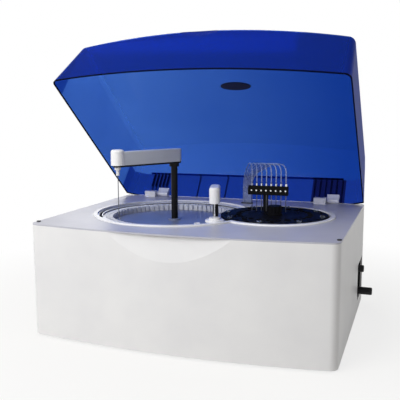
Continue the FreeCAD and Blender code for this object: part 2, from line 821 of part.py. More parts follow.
def make_probe_arm():
    """Pale arm cover with one taller round head over the needle."""
    tip_x, tip_y = probe_point(CUVETTE_CIRCLE)
    low = DECK_Z + PROBE_ARM_UNDER
    high = low + PROBE_ARM_TALL
    beam = capsule(*probe_ends(), PROBE_ARM_HALF, low, high - PROBE_HEAD_RISE)
    beam = beam.removeSplitter()
    beam_top = high - PROBE_HEAD_RISE
    beam = beam.makeFillet(4.0, [e for e in beam.Edges if e.BoundBox.ZMin > beam_top - 0.01])
    head = post(tip_x, tip_y, low, high, PROBE_HEAD_R)
    head = head.makeFillet(7.0, [e for e in head.Edges if e.BoundBox.ZMin > high - 0.01])
    seat = post(tip_x, tip_y, low - 1, low + PROBE_SEAT, PROBE_NEEDLE_R)
    return beam.fuse(head).cut(seat)


def make_probe_holder():
    """White stepped holder of the needle under the arm's head."""
    tip_x, tip_y = probe_point(CUVETTE_CIRCLE)
    under = DECK_Z + PROBE_ARM_UNDER - PROBE_PLATE
    wide = post(tip_x, tip_y, under - 8, under, 9.0)
    slim = post(tip_x, tip_y, under - 24, under - 8, 5.0)
    holder = wide.fuse(slim)
    return holder.cut(post(tip_x, tip_y, under - 25, under + 1, PROBE_NEEDLE_R))


def make_probe_needle():
    """Steel needle from inside the arm down to just above the cuvettes."""
    tip_x, tip_y = probe_point(CUVETTE_CIRCLE)
    top = DECK_Z + PROBE_ARM_UNDER + PROBE_SEAT
    tip = DECK_Z + PROBE_TIP_RISE
    cone = Part.makeCone(0.6, PROBE_NEEDLE_R, 6.0, V(tip_x, tip_y, tip), Z_AXIS)
    return cone.fuse(post(tip_x, tip_y, tip + 6, top, PROBE_NEEDLE_R))


def make_mixer_column():
    """Black column of the mixer, sliding in the inner plate's bush."""
    low = DECK_Z - MIXER_COLUMN_LOW
    high = DECK_Z + MIXER_HEAD_UNDER + MIXER_SPIGOT
    return post(MIXER_X, MIXER_Y, low, high, MIXER_COLUMN_R)


def make_mixer_head():
    """White mixer head from the column to the rod."""
    x, y = port_place()
    low = DECK_Z + MIXER_HEAD_UNDER
    high = low + MIXER_HEAD_TALL
    head = capsule(MIXER_X, MIXER_Y, x, y, MIXER_HEAD_HALF, low, high).removeSplitter()
    head = head.makeFillet(7.0, [e for e in head.Edges if e.BoundBox.ZMin > high - 0.01])
    spigot = post(MIXER_X, MIXER_Y, low - 1, low + MIXER_SPIGOT, MIXER_COLUMN_R + SHAFT_GAP)
    seat = post(x, y, low - 1, low + MIXER_SPIGOT, MIXER_ROD_R + SHAFT_GAP)
    return head.cut(spigot).cut(seat)


def make_mixer_rod():
    """Steel rod with a flat paddle at its foot."""
    x, y = port_place()
    tip = DECK_Z + MIXER_TIP_RISE
    rod = post(x, y, tip + 8, DECK_Z + MIXER_HEAD_UNDER + MIXER_SPIGOT, MIXER_ROD_R)
    half = MIXER_PADDLE_HALF
    paddle = block(x - half, y - 0.6, tip, x + half, y + 0.6, tip + 9)
    return rod.fuse(paddle)


def make_mixing_port():
    """White stepped port over the ring, standing on the guard."""
    x, y = port_place()
    low = DECK_Z - GUARD_TOP_DROP
    flange = post(x, y, low, low + PORT_FLANGE_TALL, PORT_FLANGE_R)
    top_edge = [e for e in flange.Edges if e.BoundBox.ZMin > low + PORT_FLANGE_TALL - 0.01]
    flange = flange.makeFillet(2.0, top_edge)
    tower = post(x, y, low, low + PORT_TOWER_TALL, PORT_TOWER_R)
    port = flange.fuse(tower)
    inside_well = post(RING_X, RING_Y, low - 1, low + 20, WELL_RADIUS - FIT_GAP)
    port = port.common(inside_well)
    return port.cut(post(x, y, low - 1, low + 20, PORT_BORE_R))


def make_wash_well():
    """White rinsing cup set into the inner plate."""
    x, y = wash_well_place()
    plate = DECK_Z - INNER_PLATE_DROP
    rim = DECK_Z - WASH_WELL_RIM_DROP
    low = DECK_Z - WASH_WELL_LOW
    cup = post(x, y, low, rim, WASH_WELL_R)
    lip = post(x, y, plate, plate + 3, WASH_WELL_R + 3)
    return cup.fuse(lip).cut(post(x, y, low + 2, rim + 1, WASH_WELL_BORE))


def make_wash_column():
    """Black lifting column of the wash head."""
    low = DECK_Z - WASH_COLUMN_LOW
    high = DECK_Z + WASH_BAR_UNDER + 18
    return post(WASH_COLUMN_X, WASH_COLUMN_Y, low, high, WASH_COLUMN_R)


def needle_places():
    """X of each wash needle."""
    return [WASH_FIRST_X + i * WASH_STEP for i in range(WASH_NEEDLES)]


def make_wash_bar():
    """Black bar that holds the eight wash needles, clamped to the column at its back."""
    low = DECK_Z + WASH_BAR_UNDER
    high = low + WASH_BAR_TALL
    front = WASH_BAR_Y - WASH_BAR_THICK / 2
    back = WASH_BAR_Y + WASH_BAR_THICK / 2
    beam = block(WASH_BAR_X, front, low, WASH_BAR_X + WASH_BAR_LONG, back, high)
    beam = beam.makeFillet(1.5, beam.Edges)
    clamp = post(WASH_COLUMN_X, WASH_COLUMN_Y, low, low + 14, WASH_COLUMN_R + 5)
    bridge = block(WASH_COLUMN_X - 9, back - 2, low, WASH_COLUMN_X + 9, WASH_COLUMN_Y, low + 14)
    beam = beam.multiFuse([clamp, bridge])
    cuts = [post(x, WASH_BAR_Y, low - 1, high + 1, WASH_NEEDLE_R) for x in needle_places()]
    cuts.append(post(WASH_COLUMN_X, WASH_COLUMN_Y, low - 1, low + 15, WASH_COLUMN_R))
    return beam.cut(Part.makeCompound(cuts))


def make_wash_needles():
    """Eight steel needles through the bar."""
    tip = DECK_Z + WASH_TIP_RISE
    top = DECK_Z + WASH_NEEDLE_TOP
    return [post(x, WASH_BAR_Y, tip, top, WASH_NEEDLE_R) for x in needle_places()]


def make_wash_ferrules():
    """Eight bright ferrules on the bar, each round one needle."""
    low = DECK_Z + WASH_BAR_UNDER + WASH_BAR_TALL
    ferrules = []
    for x in needle_places():
        nut = prism(x, WASH_BAR_Y, 6, FERRULE_RADIUS, low, low + FERRULE_TALL)
        ferrules.append(nut.cut(post(x, WASH_BAR_Y, low - 1, low + FERRULE_TALL + 1, WASH_NEEDLE_R)))
    return ferrules


def make_wash_screws():
    """Eight bright set screws in the bar's front face."""
    z = DECK_Z + WASH_BAR_UNDER + WASH_BAR_TALL / 2
    front = WASH_BAR_Y - WASH_BAR_THICK / 2
    screws = []
    for x in needle_places():
        head = Part.makeCylinder(SCREW_RADIUS, SCREW_OUT, V(x, front - SCREW_OUT, z), Y_AXIS)
        socket = Part.makeCylinder(SCREW_RADIUS / 2, SCREW_OUT, V(x, front - SCREW_OUT - 0.4, z), Y_AXIS)
        screws.append(head.cut(socket))
    return screws


def arc_corner(before, corner, after, share):
    """Ends and middle of the arc that rounds one corner of a route."""
    to_before = before - corner
    to_after = after - corner
    shorter = min(to_before.Length, to_after.Length)
    to_before.normalize()
    to_after.normalize()
    between = to_before.getAngle(to_after)
    turn = math.pi - between
    run = share * shorter
    radius = run / math.tan(turn / 2)
    start = corner + to_before * run
    end = corner + to_after * run
    bisector = (to_before + to_after).normalize()
    centre = corner + bisector * (radius / math.cos(turn / 2))
    middle = centre - bisector * radius
    return start, middle, end, radius


def tube_along(points, radius):
    """Round tube along straight runs joined by tangent arcs, and the arcs' radii."""
    edges = []
    radii = []
    at = points[0]
    for before, corner, after in zip(points, points[1:], points[2:]):
        start, middle, end, arc = arc_corner(before, corner, after, 0.45)
        edges.append(Part.LineSegment(at, start).toShape())
        edges.append(Part.Arc(start, middle, end).toShape())
        radii.append(arc)
        at = end
    edges.append(Part.LineSegment(at, points[-1]).toShape())
    path = Part.Wire(edges)
    heading = (points[1] - points[0]).normalize()
    profile = Part.Wire([Part.makeCircle(radius, points[0], heading)])
    return path.makePipeShell([profile], True, False), radii


def tube_route(index):
    """Route of one wash tube from its needle, over an arch and down into the deck."""
    x = needle_places()[index]
    top = DECK_Z + WASH_NEEDLE_TOP
    slot_x = BUNDLE_X + (index - (WASH_NEEDLES - 1) / 2) * BUNDLE_STEP
    over = 0.3
    return [
        V(x, WASH_BAR_Y, top),
        V(x, WASH_BAR_Y, top + TUBE_RISE),
        V(x + over * (slot_x - x), WASH_BAR_Y + over * (BUNDLE_Y - WASH_BAR_Y), top + TUBE_RISE + 4),
        V(slot_x, BUNDLE_Y, DECK_Z + BUNDLE_TOP),
        V(slot_x, BUNDLE_Y, DECK_Z - BUNDLE_TAIL),
    ]


def make_wash_tubes():
    """Eight tubes that arch from the needles into one flat bundle."""
    tubes = []
    for i in range(WASH_NEEDLES):
        solid, radii = tube_along(tube_route(i), TUBE_RADIUS)
        print("wash tube", i, "arc radii", [round(r, 1) for r in radii])
        tubes.append(solid)
    return tubes


def hinge_line():
    """Depth and height of the lid's turning line."""
    return CASE_DEPTH / 2 - HINGE_BACK, DECK_Z + HINGE_RISE


def lid_top(inset):
    """Height of the lid's crown line, drawn in by an inset."""
    return DECK_Z + LID_GAP + LID_HEIGHT + LID_CROWN - inset


def lid_form(inset, low):
    """The closed lid's outer form, drawn in by an inset and reaching down to a height."""
    foot = DECK_Z + LID_GAP
    high = foot + LID_HEIGHT + LID_CROWN + 40
    share = (high - foot) / (LID_HEIGHT + LID_CROWN)
    drop = (low - foot) / (LID_HEIGHT + LID_CROWN)
    wires = []
    for z, lean in ((low, drop), (high, share)):
        wires.append(
            outline(
                CASE_WIDTH / 2 - inset - LID_SIDE_LEAN * lean,
                -CASE_DEPTH / 2 + inset + LID_FRONT_LEAN * lean,
                CASE_DEPTH / 2 - inset - LID_REAR_LEAN * lean,
                CASE_BOW,
                z,
            )
        )
    form = Part.makeLoft(wires, True, True)
    half = CASE_WIDTH / 2
    crown_radius = (half**2 + LID_CROWN**2) / (2 * LID_CROWN)
    below_top = lid_top(inset) + inset - crown_radius
    crown = Part.makeCylinder(
        crown_radius - inset, 3 * CASE_DEPTH, V(0, -1.5 * CASE_DEPTH, below_top), Y_AXIS
    )
    form = form.common(crown)
    edges = corner_edges(form, True)
    for edge in form.Edges:
        high_enough = edge.BoundBox.ZMin > foot + LID_SLOPE_FOOT
        if high_enough and edge.CenterOfMass.y < CASE_DEPTH / 2 - 40:
            edges.append(edge)
    form = form.makeFillet(LID_EDGE - inset, edges)
    form = form.cut(rear_slope(inset))
    for side in (-1, 1):
        form = form.cut(rear_corner(side, inset))
    return form.cut(dip_cutter(inset))


def rear_corner(side, inset):
    """Prism that takes a slanting facet off one rear corner of the lid."""
    back = CASE_DEPTH / 2
    wide, deep = LID_REAR_CORNER, LID_REAR_CORNER_DEEP
    shift = inset * math.hypot(wide, deep) / deep
    cut_x = CASE_WIDTH / 2 - wide - shift
    low = DECK_Z - 400
    points = [
        V(side * (cut_x - 4 * wide), back + 4 * deep, low),
        V(side * (cut_x + 6 * wide), back + 4 * deep, low),
        V(side * (cut_x + 6 * wide), back - 6 * deep, low),
    ]
    return Part.Face(Part.makePolygon(points + [points[0]])).extrude(V(0, 0, 1000))


def rear_slope(inset):
    """Wedge above the sloping rear panel."""
    back = CASE_DEPTH / 2 - inset
    foot = DECK_Z + LID_GAP + LID_SLOPE_FOOT
    top = lid_top(0)
    lean = math.atan2(LID_SLOPE_RUN, top - foot)
    shift = inset / math.cos(lean) - inset
    start = V(-CASE_WIDTH, back - LID_REAR_LEAN / 2 - shift, foot)
    rise = 2 * (top - foot)
    run = 2 * LID_SLOPE_RUN
    points = [
        start,
        start + V(0, -run, rise),
        start + V(0, 3 * run, rise),
        start + V(0, 3 * run, 0),
    ]
    return Part.Face(Part.makePolygon(points + [points[0]])).extrude(V(2 * CASE_WIDTH, 0, 0))


def dip_cutter(inset):
    """Large leaning cylinder that scoops the front's top edge."""
    half = CASE_WIDTH / 2
    crown_radius = (half**2 + LID_CROWN**2) / (2 * LID_CROWN)
    crown_share = LID_DIP_HALF**2 / (2 * crown_radius)
    radius = LID_DIP_HALF**2 / (2 * (LID_DIP_DEPTH - crown_share))
    front = -CASE_DEPTH / 2 - CASE_BOW + LID_FRONT_LEAN
    top = lid_top(0)
    long = 6 * LID_DIP_DEPTH
    reach = LID_DIP_RUN + LID_DIP_DEPTH * LID_FRONT_LEAN / (LID_HEIGHT + LID_CROWN)
    lean = math.degrees(math.atan2(LID_DIP_DEPTH, reach))
    pivot = V(LID_DIP_X, front + LID_DIP_RUN, top)
    cutter = Part.makeCylinder(
        radius + inset, long, V(LID_DIP_X, pivot.y - long / 2, top + radius), Y_AXIS
    )
    cutter.rotate(pivot, X_AXIS, lean)
    return cutter


def foot_wedge():
    """What lies under the open lid's lowest allowed plane, drawn on the closed lid."""
    y, z = hinge_line()
    wedge = block(-CASE_WIDTH, y - 60, DECK_Z - 300, CASE_WIDTH, y + 400, DECK_Z + 1)
    wedge.rotate(V(0, y, z), X_AXIS, LID_OPEN)
    return wedge


def make_lid_closed():
    """Blue lid shell in its closed place, with the inner ledge, ribs and leaf seats."""
    foot = DECK_Z + LID_GAP
    shell = lid_form(0, foot)
    hollow = lid_form(LID_WALL, foot - 5)
    shell = shell.cut(hollow)
    wall = CASE_DEPTH / 2 - LID_WALL
    trims = []
    half = HINGE_X + KNUCKLE_WIDE + 8
    high = foot + LID_SLOPE_FOOT - 4
    trims.append(block(-half, wall - LEDGE_DEEP, high, half, wall + 1, high + RIB_THICK))
    for x in RIB_PLACES:
        left = x - RIB_THICK / 2
        trims.append(block(left, wall - RIB_DEEP, foot + 40, left + RIB_THICK, wall + 1, high + 1))
    for x in GUSSET_PLACES:
        trims.append(gusset(x, wall, foot + 18, high + 1))
    inside = lid_form(LID_WALL / 2, foot - 5)
    kept = [trim.common(inside) for trim in trims]
    shell = shell.multiFuse(kept)
    return shell.cut(foot_wedge())


def gusset(x, wall, low, high):
    """Tapered upright rib that runs out towards its foot."""
    points = [V(x, wall + 1, low), V(x, wall - RIB_DEEP, high), V(x, wall + 1, high)]
    return Part.Face(Part.makePolygon(points + [points[0]])).extrude(V(RIB_THICK, 0, 0))


def opened(shape):
    """Closed piece of the lid turned to its open rest."""
    y, z = hinge_line()
    copy = shape.copy()
    copy.rotate(V(0, y, z), X_AXIS, -LID_OPEN)
    return copy


def make_lid_oval():
    """Dark oval plate under the lid's top."""
    y, z = hinge_line()
    hollow = lid_form(LID_WALL, DECK_Z)
    centre_y = y - OVAL_FROM_HINGE
    oval = Part.Ellipse(V(0, 0, 0), OVAL_LONG / 2, OVAL_SHORT / 2).toShape()
    disc = Part.Face(Part.Wire([oval])).extrude(V(0, 0, 60))
    disc.translate(V(OVAL_X, centre_y, lid_top(0) - 60))
    lower = hollow.copy()
    lower.translate(V(0, 0, -OVAL_THICK))
    return disc.common(hollow).cut(lower)


def make_fixed_leaf(side):
    """White hinge knuckle screwed to the deck."""
    y, z = hinge_line()
    x0, x1 = knuckle_span(side, True)
    barrel = bar(x0, x1, y, z, KNUCKLE_RADIUS)
    foot = block(x0, y - FOOT_PLATE, DECK_Z, x1, y, DECK_Z + FOOT_PLATE_TALL)
    heel = block(x0, y - 1, DECK_Z, x1, y + KNUCKLE_RADIUS, z)
    leaf = barrel.multiFuse([foot, heel])
    return leaf.cut(bar(x0 - 1, x1 + 1, y, z, HINGE_PIN_R))


def knuckle_span(side, fixed):
    """Ends along X of the fixed or the moving knuckle of one hinge."""
    if fixed:
        return side * HINGE_X - KNUCKLE_WIDE - 0.5, side * HINGE_X - 0.5
    return side * HINGE_X + 0.5, side * HINGE_X + KNUCKLE_WIDE + 0.5


def make_moving_leaf(side):
    """White hinge knuckle on the lid's rear wall, in its closed place."""
    y, z = hinge_line()
    x0, x1 = knuckle_span(side, False)
    barrel = bar(x0, x1, y, z, KNUCKLE_RADIUS)
    lean = LID_REAR_LEAN / (LID_HEIGHT + LID_CROWN)
    wall = CASE_DEPTH / 2 - LID_WALL
    foot = DECK_Z + LID_GAP
    high = z + LEAF_TALL
    points = [
        V(x0, y - 2, z),
        V(x0, wall - lean * (z - foot), z),
        V(x0, wall - lean * (high - foot), high),
        V(x0, y - 2, high),
    ]
    arm = Part.Face(Part.makePolygon(points + [points[0]])).extrude(V(x1 - x0, 0, 0))
    leaf = barrel.fuse(arm).cut(foot_wedge())
    return leaf.cut(bar(x0 - 1, x1 + 1, y, z, HINGE_PIN_R + SHAFT_GAP))


def make_hinge_pin(side):
    """Steel pin through both knuckles."""
    y, z = hinge_line()
    long = KNUCKLE_WIDE - 1
    return bar(side * HINGE_X - long, side * HINGE_X + long, y, z, HINGE_PIN_R)


def make_bumpers():
    """Black pads at the deck's front corners, under the lid's edge."""
    y = -CASE_DEPTH / 2 + 33
    x = CASE_WIDTH / 2 - 7
    top = DECK_Z + LID_GAP - FIT_GAP
    return [post(side * x, y, DECK_Z, top, 6.0) for side in (-1, 1)]


def make_floor_plate():
    """Steel floor plate inside the case wall."""
    return case_form(CASE_WALL, FOOT_HEIGHT, FOOT_HEIGHT + FLOOR_THICK)


def make_feet():
    """Four rubber feet."""
    feet = []
    for x in (-CASE_WIDTH / 2 + FOOT_INSET, CASE_WIDTH / 2 - FOOT_INSET):
        for y in (-CASE_DEPTH / 2 + FOOT_INSET, CASE_DEPTH / 2 - FOOT_INSET):
            feet.append(post(x, y, 0, FOOT_HEIGHT, FOOT_RADIUS))
    return feet


def make_side_panel():
    """Black sunk panel behind the opening in the right side."""
    side = CASE_WIDTH / 2
    face = side - PANEL_DEEP
    edge = CASE_WALL + 6
    outer = block(
        face - PANEL_THICK,
        PANEL_Y0 - edge,
        PANEL_Z0 - edge,
        side - CASE_WALL,
        PANEL_Y1 + CASE_WALL,
        PANEL_Z1 + edge,
    )
    hollow = block(face, PANEL_Y0, PANEL_Z0, side, PANEL_Y1, PANEL_Z1)
    panel = outer.cut(hollow)
    return panel


def make_fitting(y, z, radius, out):
    """Black screw cap on a threaded fitting that stands out of the side panel."""
    side = CASE_WIDTH / 2
    face = side - PANEL_DEEP
    collar = bar(face, face + 7, y, z, radius + 4)
    cap = bar(face + 7, side + out, y, z, radius)
    ends = [e for e in cap.Edges if e.BoundBox.XMin > side + out - 0.1]
    cap = cap.makeFillet(radius * 0.3, ends)
    return collar.fuse(cap)


def make_inlet():
    """Black power inlet block at the back, with its three-pin socket and the rocker's well."""
    back = CASE_DEPTH / 2
    half = INLET_WIDE / 2
    tall = INLET_TALL / 2
    body = block(
        INLET_X - half + FIT_GAP,
        back - 30,
        INLET_Z - tall + FIT_GAP,
        INLET_X + half - FIT_GAP,
        back,
        INLET_Z + tall - FIT_GAP,
    )
    frame = block(
        INLET_X - half - 4, back, INLET_Z - tall - 4, INLET_X + half + 4, back + 3, INLET_Z + tall + 4
    )
    socket = block(INLET_X - 13, back - 18, INLET_Z - 24, INLET_X + 13, back + 4, INLET_Z - 4)
    rocker_z = INLET_Z + 14
    well = block(
        INLET_X - ROCKER_WIDE / 2 - 1,
        back - 14,
        rocker_z - ROCKER_TALL / 2 - 1,
        INLET_X + ROCKER_WIDE / 2 + 1,
        back + 4,
        rocker_z + ROCKER_TALL / 2 + 1,
    )
    inlet = body.fuse(frame).cut(fuse_all([socket, well]))
    pins = [
        block(INLET_X + dx - 1, back - 18, INLET_Z + dz - 2, INLET_X + dx + 1, back - 4, INLET_Z + dz + 2)
        for dx, dz in ((-7, -16), (7, -16), (0, -10))
    ]
    return inlet.multiFuse(pins)


def make_rocker():
    """Rocker of the power switch, turning on two side journals."""
    back = CASE_DEPTH / 2
    z = INLET_Z + 14
    half = ROCKER_TALL / 2 - 1
    points = [
        V(0, back - 6, z - half),
        V(0, back + 4.5, z - half),
        V(0, back + 2, z),
        V(0, back + 4.5, z + half),
        V(0, back - 6, z + half),
    ]
    body = Part.Face(Part.makePolygon(points + [points[0]])).extrude(V(ROCKER_WIDE - 1, 0, 0))
    body.translate(V(INLET_X - ROCKER_WIDE / 2 + 0.5, 0, 0))
    axle = bar(INLET_X - ROCKER_WIDE / 2 - 0.7, INLET_X + ROCKER_WIDE / 2 + 0.7, back - 3, z, 1.5)
    rocker = body.fuse(axle)
    rocker.rotate(V(0, back - 3, z), X_AXIS, ROCKER_TURN / 2)
    return rocker


def make_fan_frame():
    """Square fan frame behind the back slots."""
    back = CASE_DEPTH / 2 - CASE_WALL
    half = FAN_SIDE / 2
    frame = block(FAN_X - half, back - FAN_THICK, FAN_Z - half, FAN_X + half, back, FAN_Z + half)
    hole = Part.makeCylinder(FAN_RADIUS + 2, FAN_THICK + 2, V(FAN_X, back - FAN_THICK - 1, FAN_Z), Y_AXIS)
    frame = frame.cut(hole)
    reach = FAN_RADIUS + 3
    arm = block(FAN_X - reach, back - FAN_THICK, FAN_Z - 3, FAN_X + reach, back - 21, FAN_Z + 3)
    seat = Part.makeCylinder(FAN_HUB - 2, 4, V(FAN_X, back - FAN_THICK, FAN_Z), Y_AXIS)
    axle = Part.makeCylinder(2.0, 16, V(FAN_X, back - FAN_THICK, FAN_Z), Y_AXIS)
    return frame.multiFuse([arm, seat, axle])


def make_fan_rotor():
    """Fan rotor with seven twisted blades."""
    back = CASE_DEPTH / 2 - CASE_WALL
    front = back - FAN_THICK + 4.5
    hub = Part.makeCylinder(FAN_HUB, 14, V(FAN_X, front, FAN_Z), Y_AXIS)
    blade = block(FAN_HUB - 2, -6, -1, FAN_RADIUS, 6, 1)
    blade.rotate(V(0, 0, 0), X_AXIS, 35)
    blades = []
    for i in range(FAN_BLADES):
        copy = blade.copy()
        copy.rotate(V(0, 0, 0), Y_AXIS, 360.0 * i / FAN_BLADES)
        copy.translate(V(FAN_X, front + 7, FAN_Z))
        blades.append(copy)
    rotor = hub.multiFuse(blades)
    return rotor.cut(Part.makeCylinder(2.0 + SHAFT_GAP, 40, V(FAN_X, front - 5, FAN_Z), Y_AXIS))


def make_power_supply():
    """Power supply box on the floor plate, near its right and rear edges."""
    floor = FOOT_HEIGHT + FLOOR_THICK
    right = CASE_WIDTH / 2 - SUPPLY_FROM_SIDE
    rear = CASE_DEPTH / 2 - SUPPLY_FROM_BACK
    return block(right - SUPPLY_LONG, rear - SUPPLY_WIDE, floor, right, rear, floor + SUPPLY_TALL)


def make_control_board():
    """Control board standing on spacers on the floor plate, near its left and rear edges."""
    floor = FOOT_HEIGHT + FLOOR_THICK
    left = BOARD_FROM_SIDE - CASE_WIDTH / 2
    front = CASE_DEPTH / 2 - BOARD_FROM_BACK - BOARD_SIDE
    under = floor + BOARD_SPACER
    top = under + BOARD_THICK
    board = block(left, front, under, left + BOARD_SIDE, front + BOARD_SIDE, top)
    legs = []
    for x in (left + BOARD_SPACER, left + BOARD_SIDE - BOARD_SPACER):
        for y in (front + BOARD_SPACER, front + BOARD_SIDE - BOARD_SPACER):
            legs.append(post(x, y, floor, under, BOARD_SPACER_R))
    chips = []
    for along, behind, tall in BOARD_CHIPS:
        x = left + along
        y = front + behind
        chips.append(block(x, y, top, x + CHIP_SIDE, y + CHIP_SIDE, top + tall))
    return fuse_all([board] + legs + chips)


def make_syringe_pump():
    """Syringe pump with its glass barrel, behind the front wall near the left side."""
    floor = FOOT_HEIGHT + FLOOR_THICK
    left = PUMP_FROM_SIDE - CASE_WIDTH / 2
    front = PUMP_FROM_FRONT - CASE_DEPTH / 2
    frame = block(left, front, floor, left + PUMP_WIDE, front + PUMP_DEEP, floor + PUMP_TALL)
    middle = left + PUMP_WIDE / 2
    barrel = post(middle, front - BARREL_OUT, floor + BARREL_LOW, floor + BARREL_HIGH, BARREL_R)
    clamps = []
    for low in (BARREL_LOW, BARREL_HIGH - CLAMP_TALL):
        clamps.append(
            block(
                middle - CLAMP_HALF,
                front - BARREL_OUT,
                floor + low,
                middle + CLAMP_HALF,
                front,
                floor + low + CLAMP_TALL,
            )
        )
    return fuse_all([frame, barrel] + clamps)


def add_case(nodes):
    """Case, deck, tub and everything fixed to them."""
    nodes["housing"] = make_housing()
    nodes["deck_cover"] = make_deck()
    nodes["rim_trim"] = make_rim_trim()
    nodes["floor_plate"] = make_floor_plate()
    nodes["feet"] = make_feet()
    nodes["lid_bumpers"] = make_bumpers()
    nodes["well_liner"] = make_tub()
    nodes["ring_guard"] = make_guard()
    nodes["tube_grommet"] = make_grommet()
    nodes["side_panel"] = make_side_panel()
    nodes["upper_fitting"] = make_fitting(
        UPPER_FITTING_Y, UPPER_FITTING_Z, UPPER_FITTING_R, UPPER_FITTING_OUT
    )
    nodes["lower_fitting"] = make_fitting(
        LOWER_FITTING_Y, LOWER_FITTING_Z, LOWER_FITTING_R, LOWER_FITTING_OUT
    )
    nodes["power_inlet"] = make_inlet()
    nodes["power_rocker"] = make_rocker()
    nodes["fan_frame"] = make_fan_frame()
    nodes["fan_rotor"] = make_fan_rotor()
    nodes["power_supply"] = make_power_supply()
    nodes["control_board"] = make_control_board()
    nodes["syringe_pump"] = make_syringe_pump()


def add_drives(nodes):
    """Pedestals, pulleys, bearings, belts and motors of the ring and of the disc."""
    plate = DECK_Z - INNER_PLATE_DROP - INNER_PLATE_THICK
    centre = DECK_Z + CENTRE_RISE - CENTRE_THICK
    for kind in ("drive_bearings", "drive_belts", "drive_motors", "motor_brackets", "motor_pulleys"):
        nodes[kind] = []
    for name, x, y, pedestal, top, motor_turn in (
        ("ring", RING_X, RING_Y, RING_PEDESTAL_R, plate, RING_MOTOR_TURN),
        ("disc", DISC_X, DISC_Y, DISC_PEDESTAL_R, centre, DISC_MOTOR_TURN),
    ):
        mx, my = motor_place(x, y, motor_turn)
        nodes[name + "_pedestal"] = make_pedestal(x, y, pedestal, top)
        nodes[name + "_pulley"] = make_pulley(x, y, pedestal)
        nodes["drive_bearings"].append(make_bearing(x, y, pedestal))
        nodes["drive_belts"].append(make_belt(x, y, pedestal, mx, my))
        nodes["drive_motors"].append(make_motor(mx, my))
        nodes["motor_brackets"].append(make_motor_bracket(mx, my))
        nodes["motor_pulleys"].append(make_motor_pulley(mx, my))


def add_wells(nodes):
    """What turns in both wells, and the plates and ports that stay still."""
    nodes["ring_carrier"] = make_ring_carrier()
    nodes["cuvette_ring"] = make_cuvette_ring()
    nodes["inner_plate"] = make_inner_plate()
    nodes["mixing_port"] = make_mixing_port()
    nodes["wash_well"] = make_wash_well()
    nodes["disc_drum"] = make_disc_drum()
    nodes["reagent_disc"] = make_disc()
    nodes["disc_knobs"] = make_knobs()
    nodes["sample_cups"] = make_cups()
    nodes["disc_centre"] = make_disc_centre()
    nodes["hub_knob"] = make_hub()


def add_arms(nodes):
    """Probe arm, mixer and wash head."""
    nodes["probe_column"] = make_probe_column()
    nodes["probe_plate"] = make_probe_plate()
    nodes["probe_arm"] = make_probe_arm()
    nodes["probe_holder"] = make_probe_holder()
    nodes["probe_needle"] = make_probe_needle()
    nodes["mixer_column"] = make_mixer_column()
    nodes["mixer_head"] = make_mixer_head()
    nodes["mixer_rod"] = make_mixer_rod()
    nodes["wash_column"] = make_wash_column()
    nodes["wash_bar"] = make_wash_bar()
    nodes["wash_needles"] = make_wash_needles()
    nodes["wash_ferrules"] = make_wash_ferrules()
    nodes["wash_screws"] = make_wash_screws()
    nodes["wash_tubes"] = make_wash_tubes()


def add_lid(nodes):
    """Lid, its oval plate and its hinges."""
    nodes["lid_shell"] = opened(make_lid_closed())
    nodes["lid_oval_plate"] = opened(make_lid_oval())
    nodes["hinges_fixed"] = [make_fixed_leaf(side) for side in (-1, 1)]
    nodes["hinges_moving"] = [opened(make_moving_leaf(side)) for side in (-1, 1)]
    nodes["hinge_pins"] = [make_hinge_pin(side) for side in (-1, 1)]


def placed(part):
    """One shape out of a sub-part or a list of them, moved into the model's frame."""
    shape = Part.makeCompound(part) if isinstance(part, list) else part.copy()
    shape.translate(V(CASE_X, CASE_Y, 0))
    return shape


def main():
    """Build every node and write its file."""
    os.makedirs("parts", exist_ok=True)
    nodes = {}
    add_case(nodes)
    add_drives(nodes)
    add_wells(nodes)
    add_arms(nodes)
    add_lid(nodes)
    whole = FreeCAD.BoundBox()
    for name, part in nodes.items():
        shape = placed(part)
        shape.exportStep(os.path.join("parts", name + ".step"))
        whole.add(shape.BoundBox)
        state = "valid" if shape.isValid() else "NOT VALID"
        box = shape.BoundBox
        sizes = [round(value, 1) for value in (box.XLength, box.YLength, box.ZLength)]
        print(name, len(shape.Solids), state, *sizes)
    print("whole", whole)


if __name__ == "__main__":
    main()
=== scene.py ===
"""Looks of a bench-top chemistry analyser: white case, blue lid, cuvette ring and black disc."""

from __future__ import annotations

import logging
import math
from dataclasses import dataclass, field
from enum import Enum

import bmesh
import bpy
from mathutils import Matrix, Vector


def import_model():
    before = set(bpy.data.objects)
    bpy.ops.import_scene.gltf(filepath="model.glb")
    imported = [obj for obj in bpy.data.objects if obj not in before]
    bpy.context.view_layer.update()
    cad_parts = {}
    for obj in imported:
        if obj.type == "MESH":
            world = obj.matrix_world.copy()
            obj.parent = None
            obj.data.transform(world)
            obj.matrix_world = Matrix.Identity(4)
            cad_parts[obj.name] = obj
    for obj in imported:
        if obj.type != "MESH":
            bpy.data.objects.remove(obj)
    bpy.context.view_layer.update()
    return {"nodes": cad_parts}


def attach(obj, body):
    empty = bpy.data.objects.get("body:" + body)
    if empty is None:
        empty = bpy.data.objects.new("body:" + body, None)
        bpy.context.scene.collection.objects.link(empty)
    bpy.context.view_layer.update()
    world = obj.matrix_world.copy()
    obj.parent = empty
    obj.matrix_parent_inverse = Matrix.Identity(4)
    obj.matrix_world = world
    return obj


LOG = logging.getLogger("analyser")
MM = 0.001

# Where the case's own middle stands in the model's frame
CASE_X = -21.0
CASE_Y = -28.0
DECK_Z = 326.0
RING_CENTRE = (-112.0, -20.0)
DISC_CENTRE = (194.0, 14.0)
HINGE_Y = 306.0
HINGE_Z = 335.0
LID_OPEN = 39.0
# Height of the closed lid's rim over the deck
RIM_GAP = 2.5

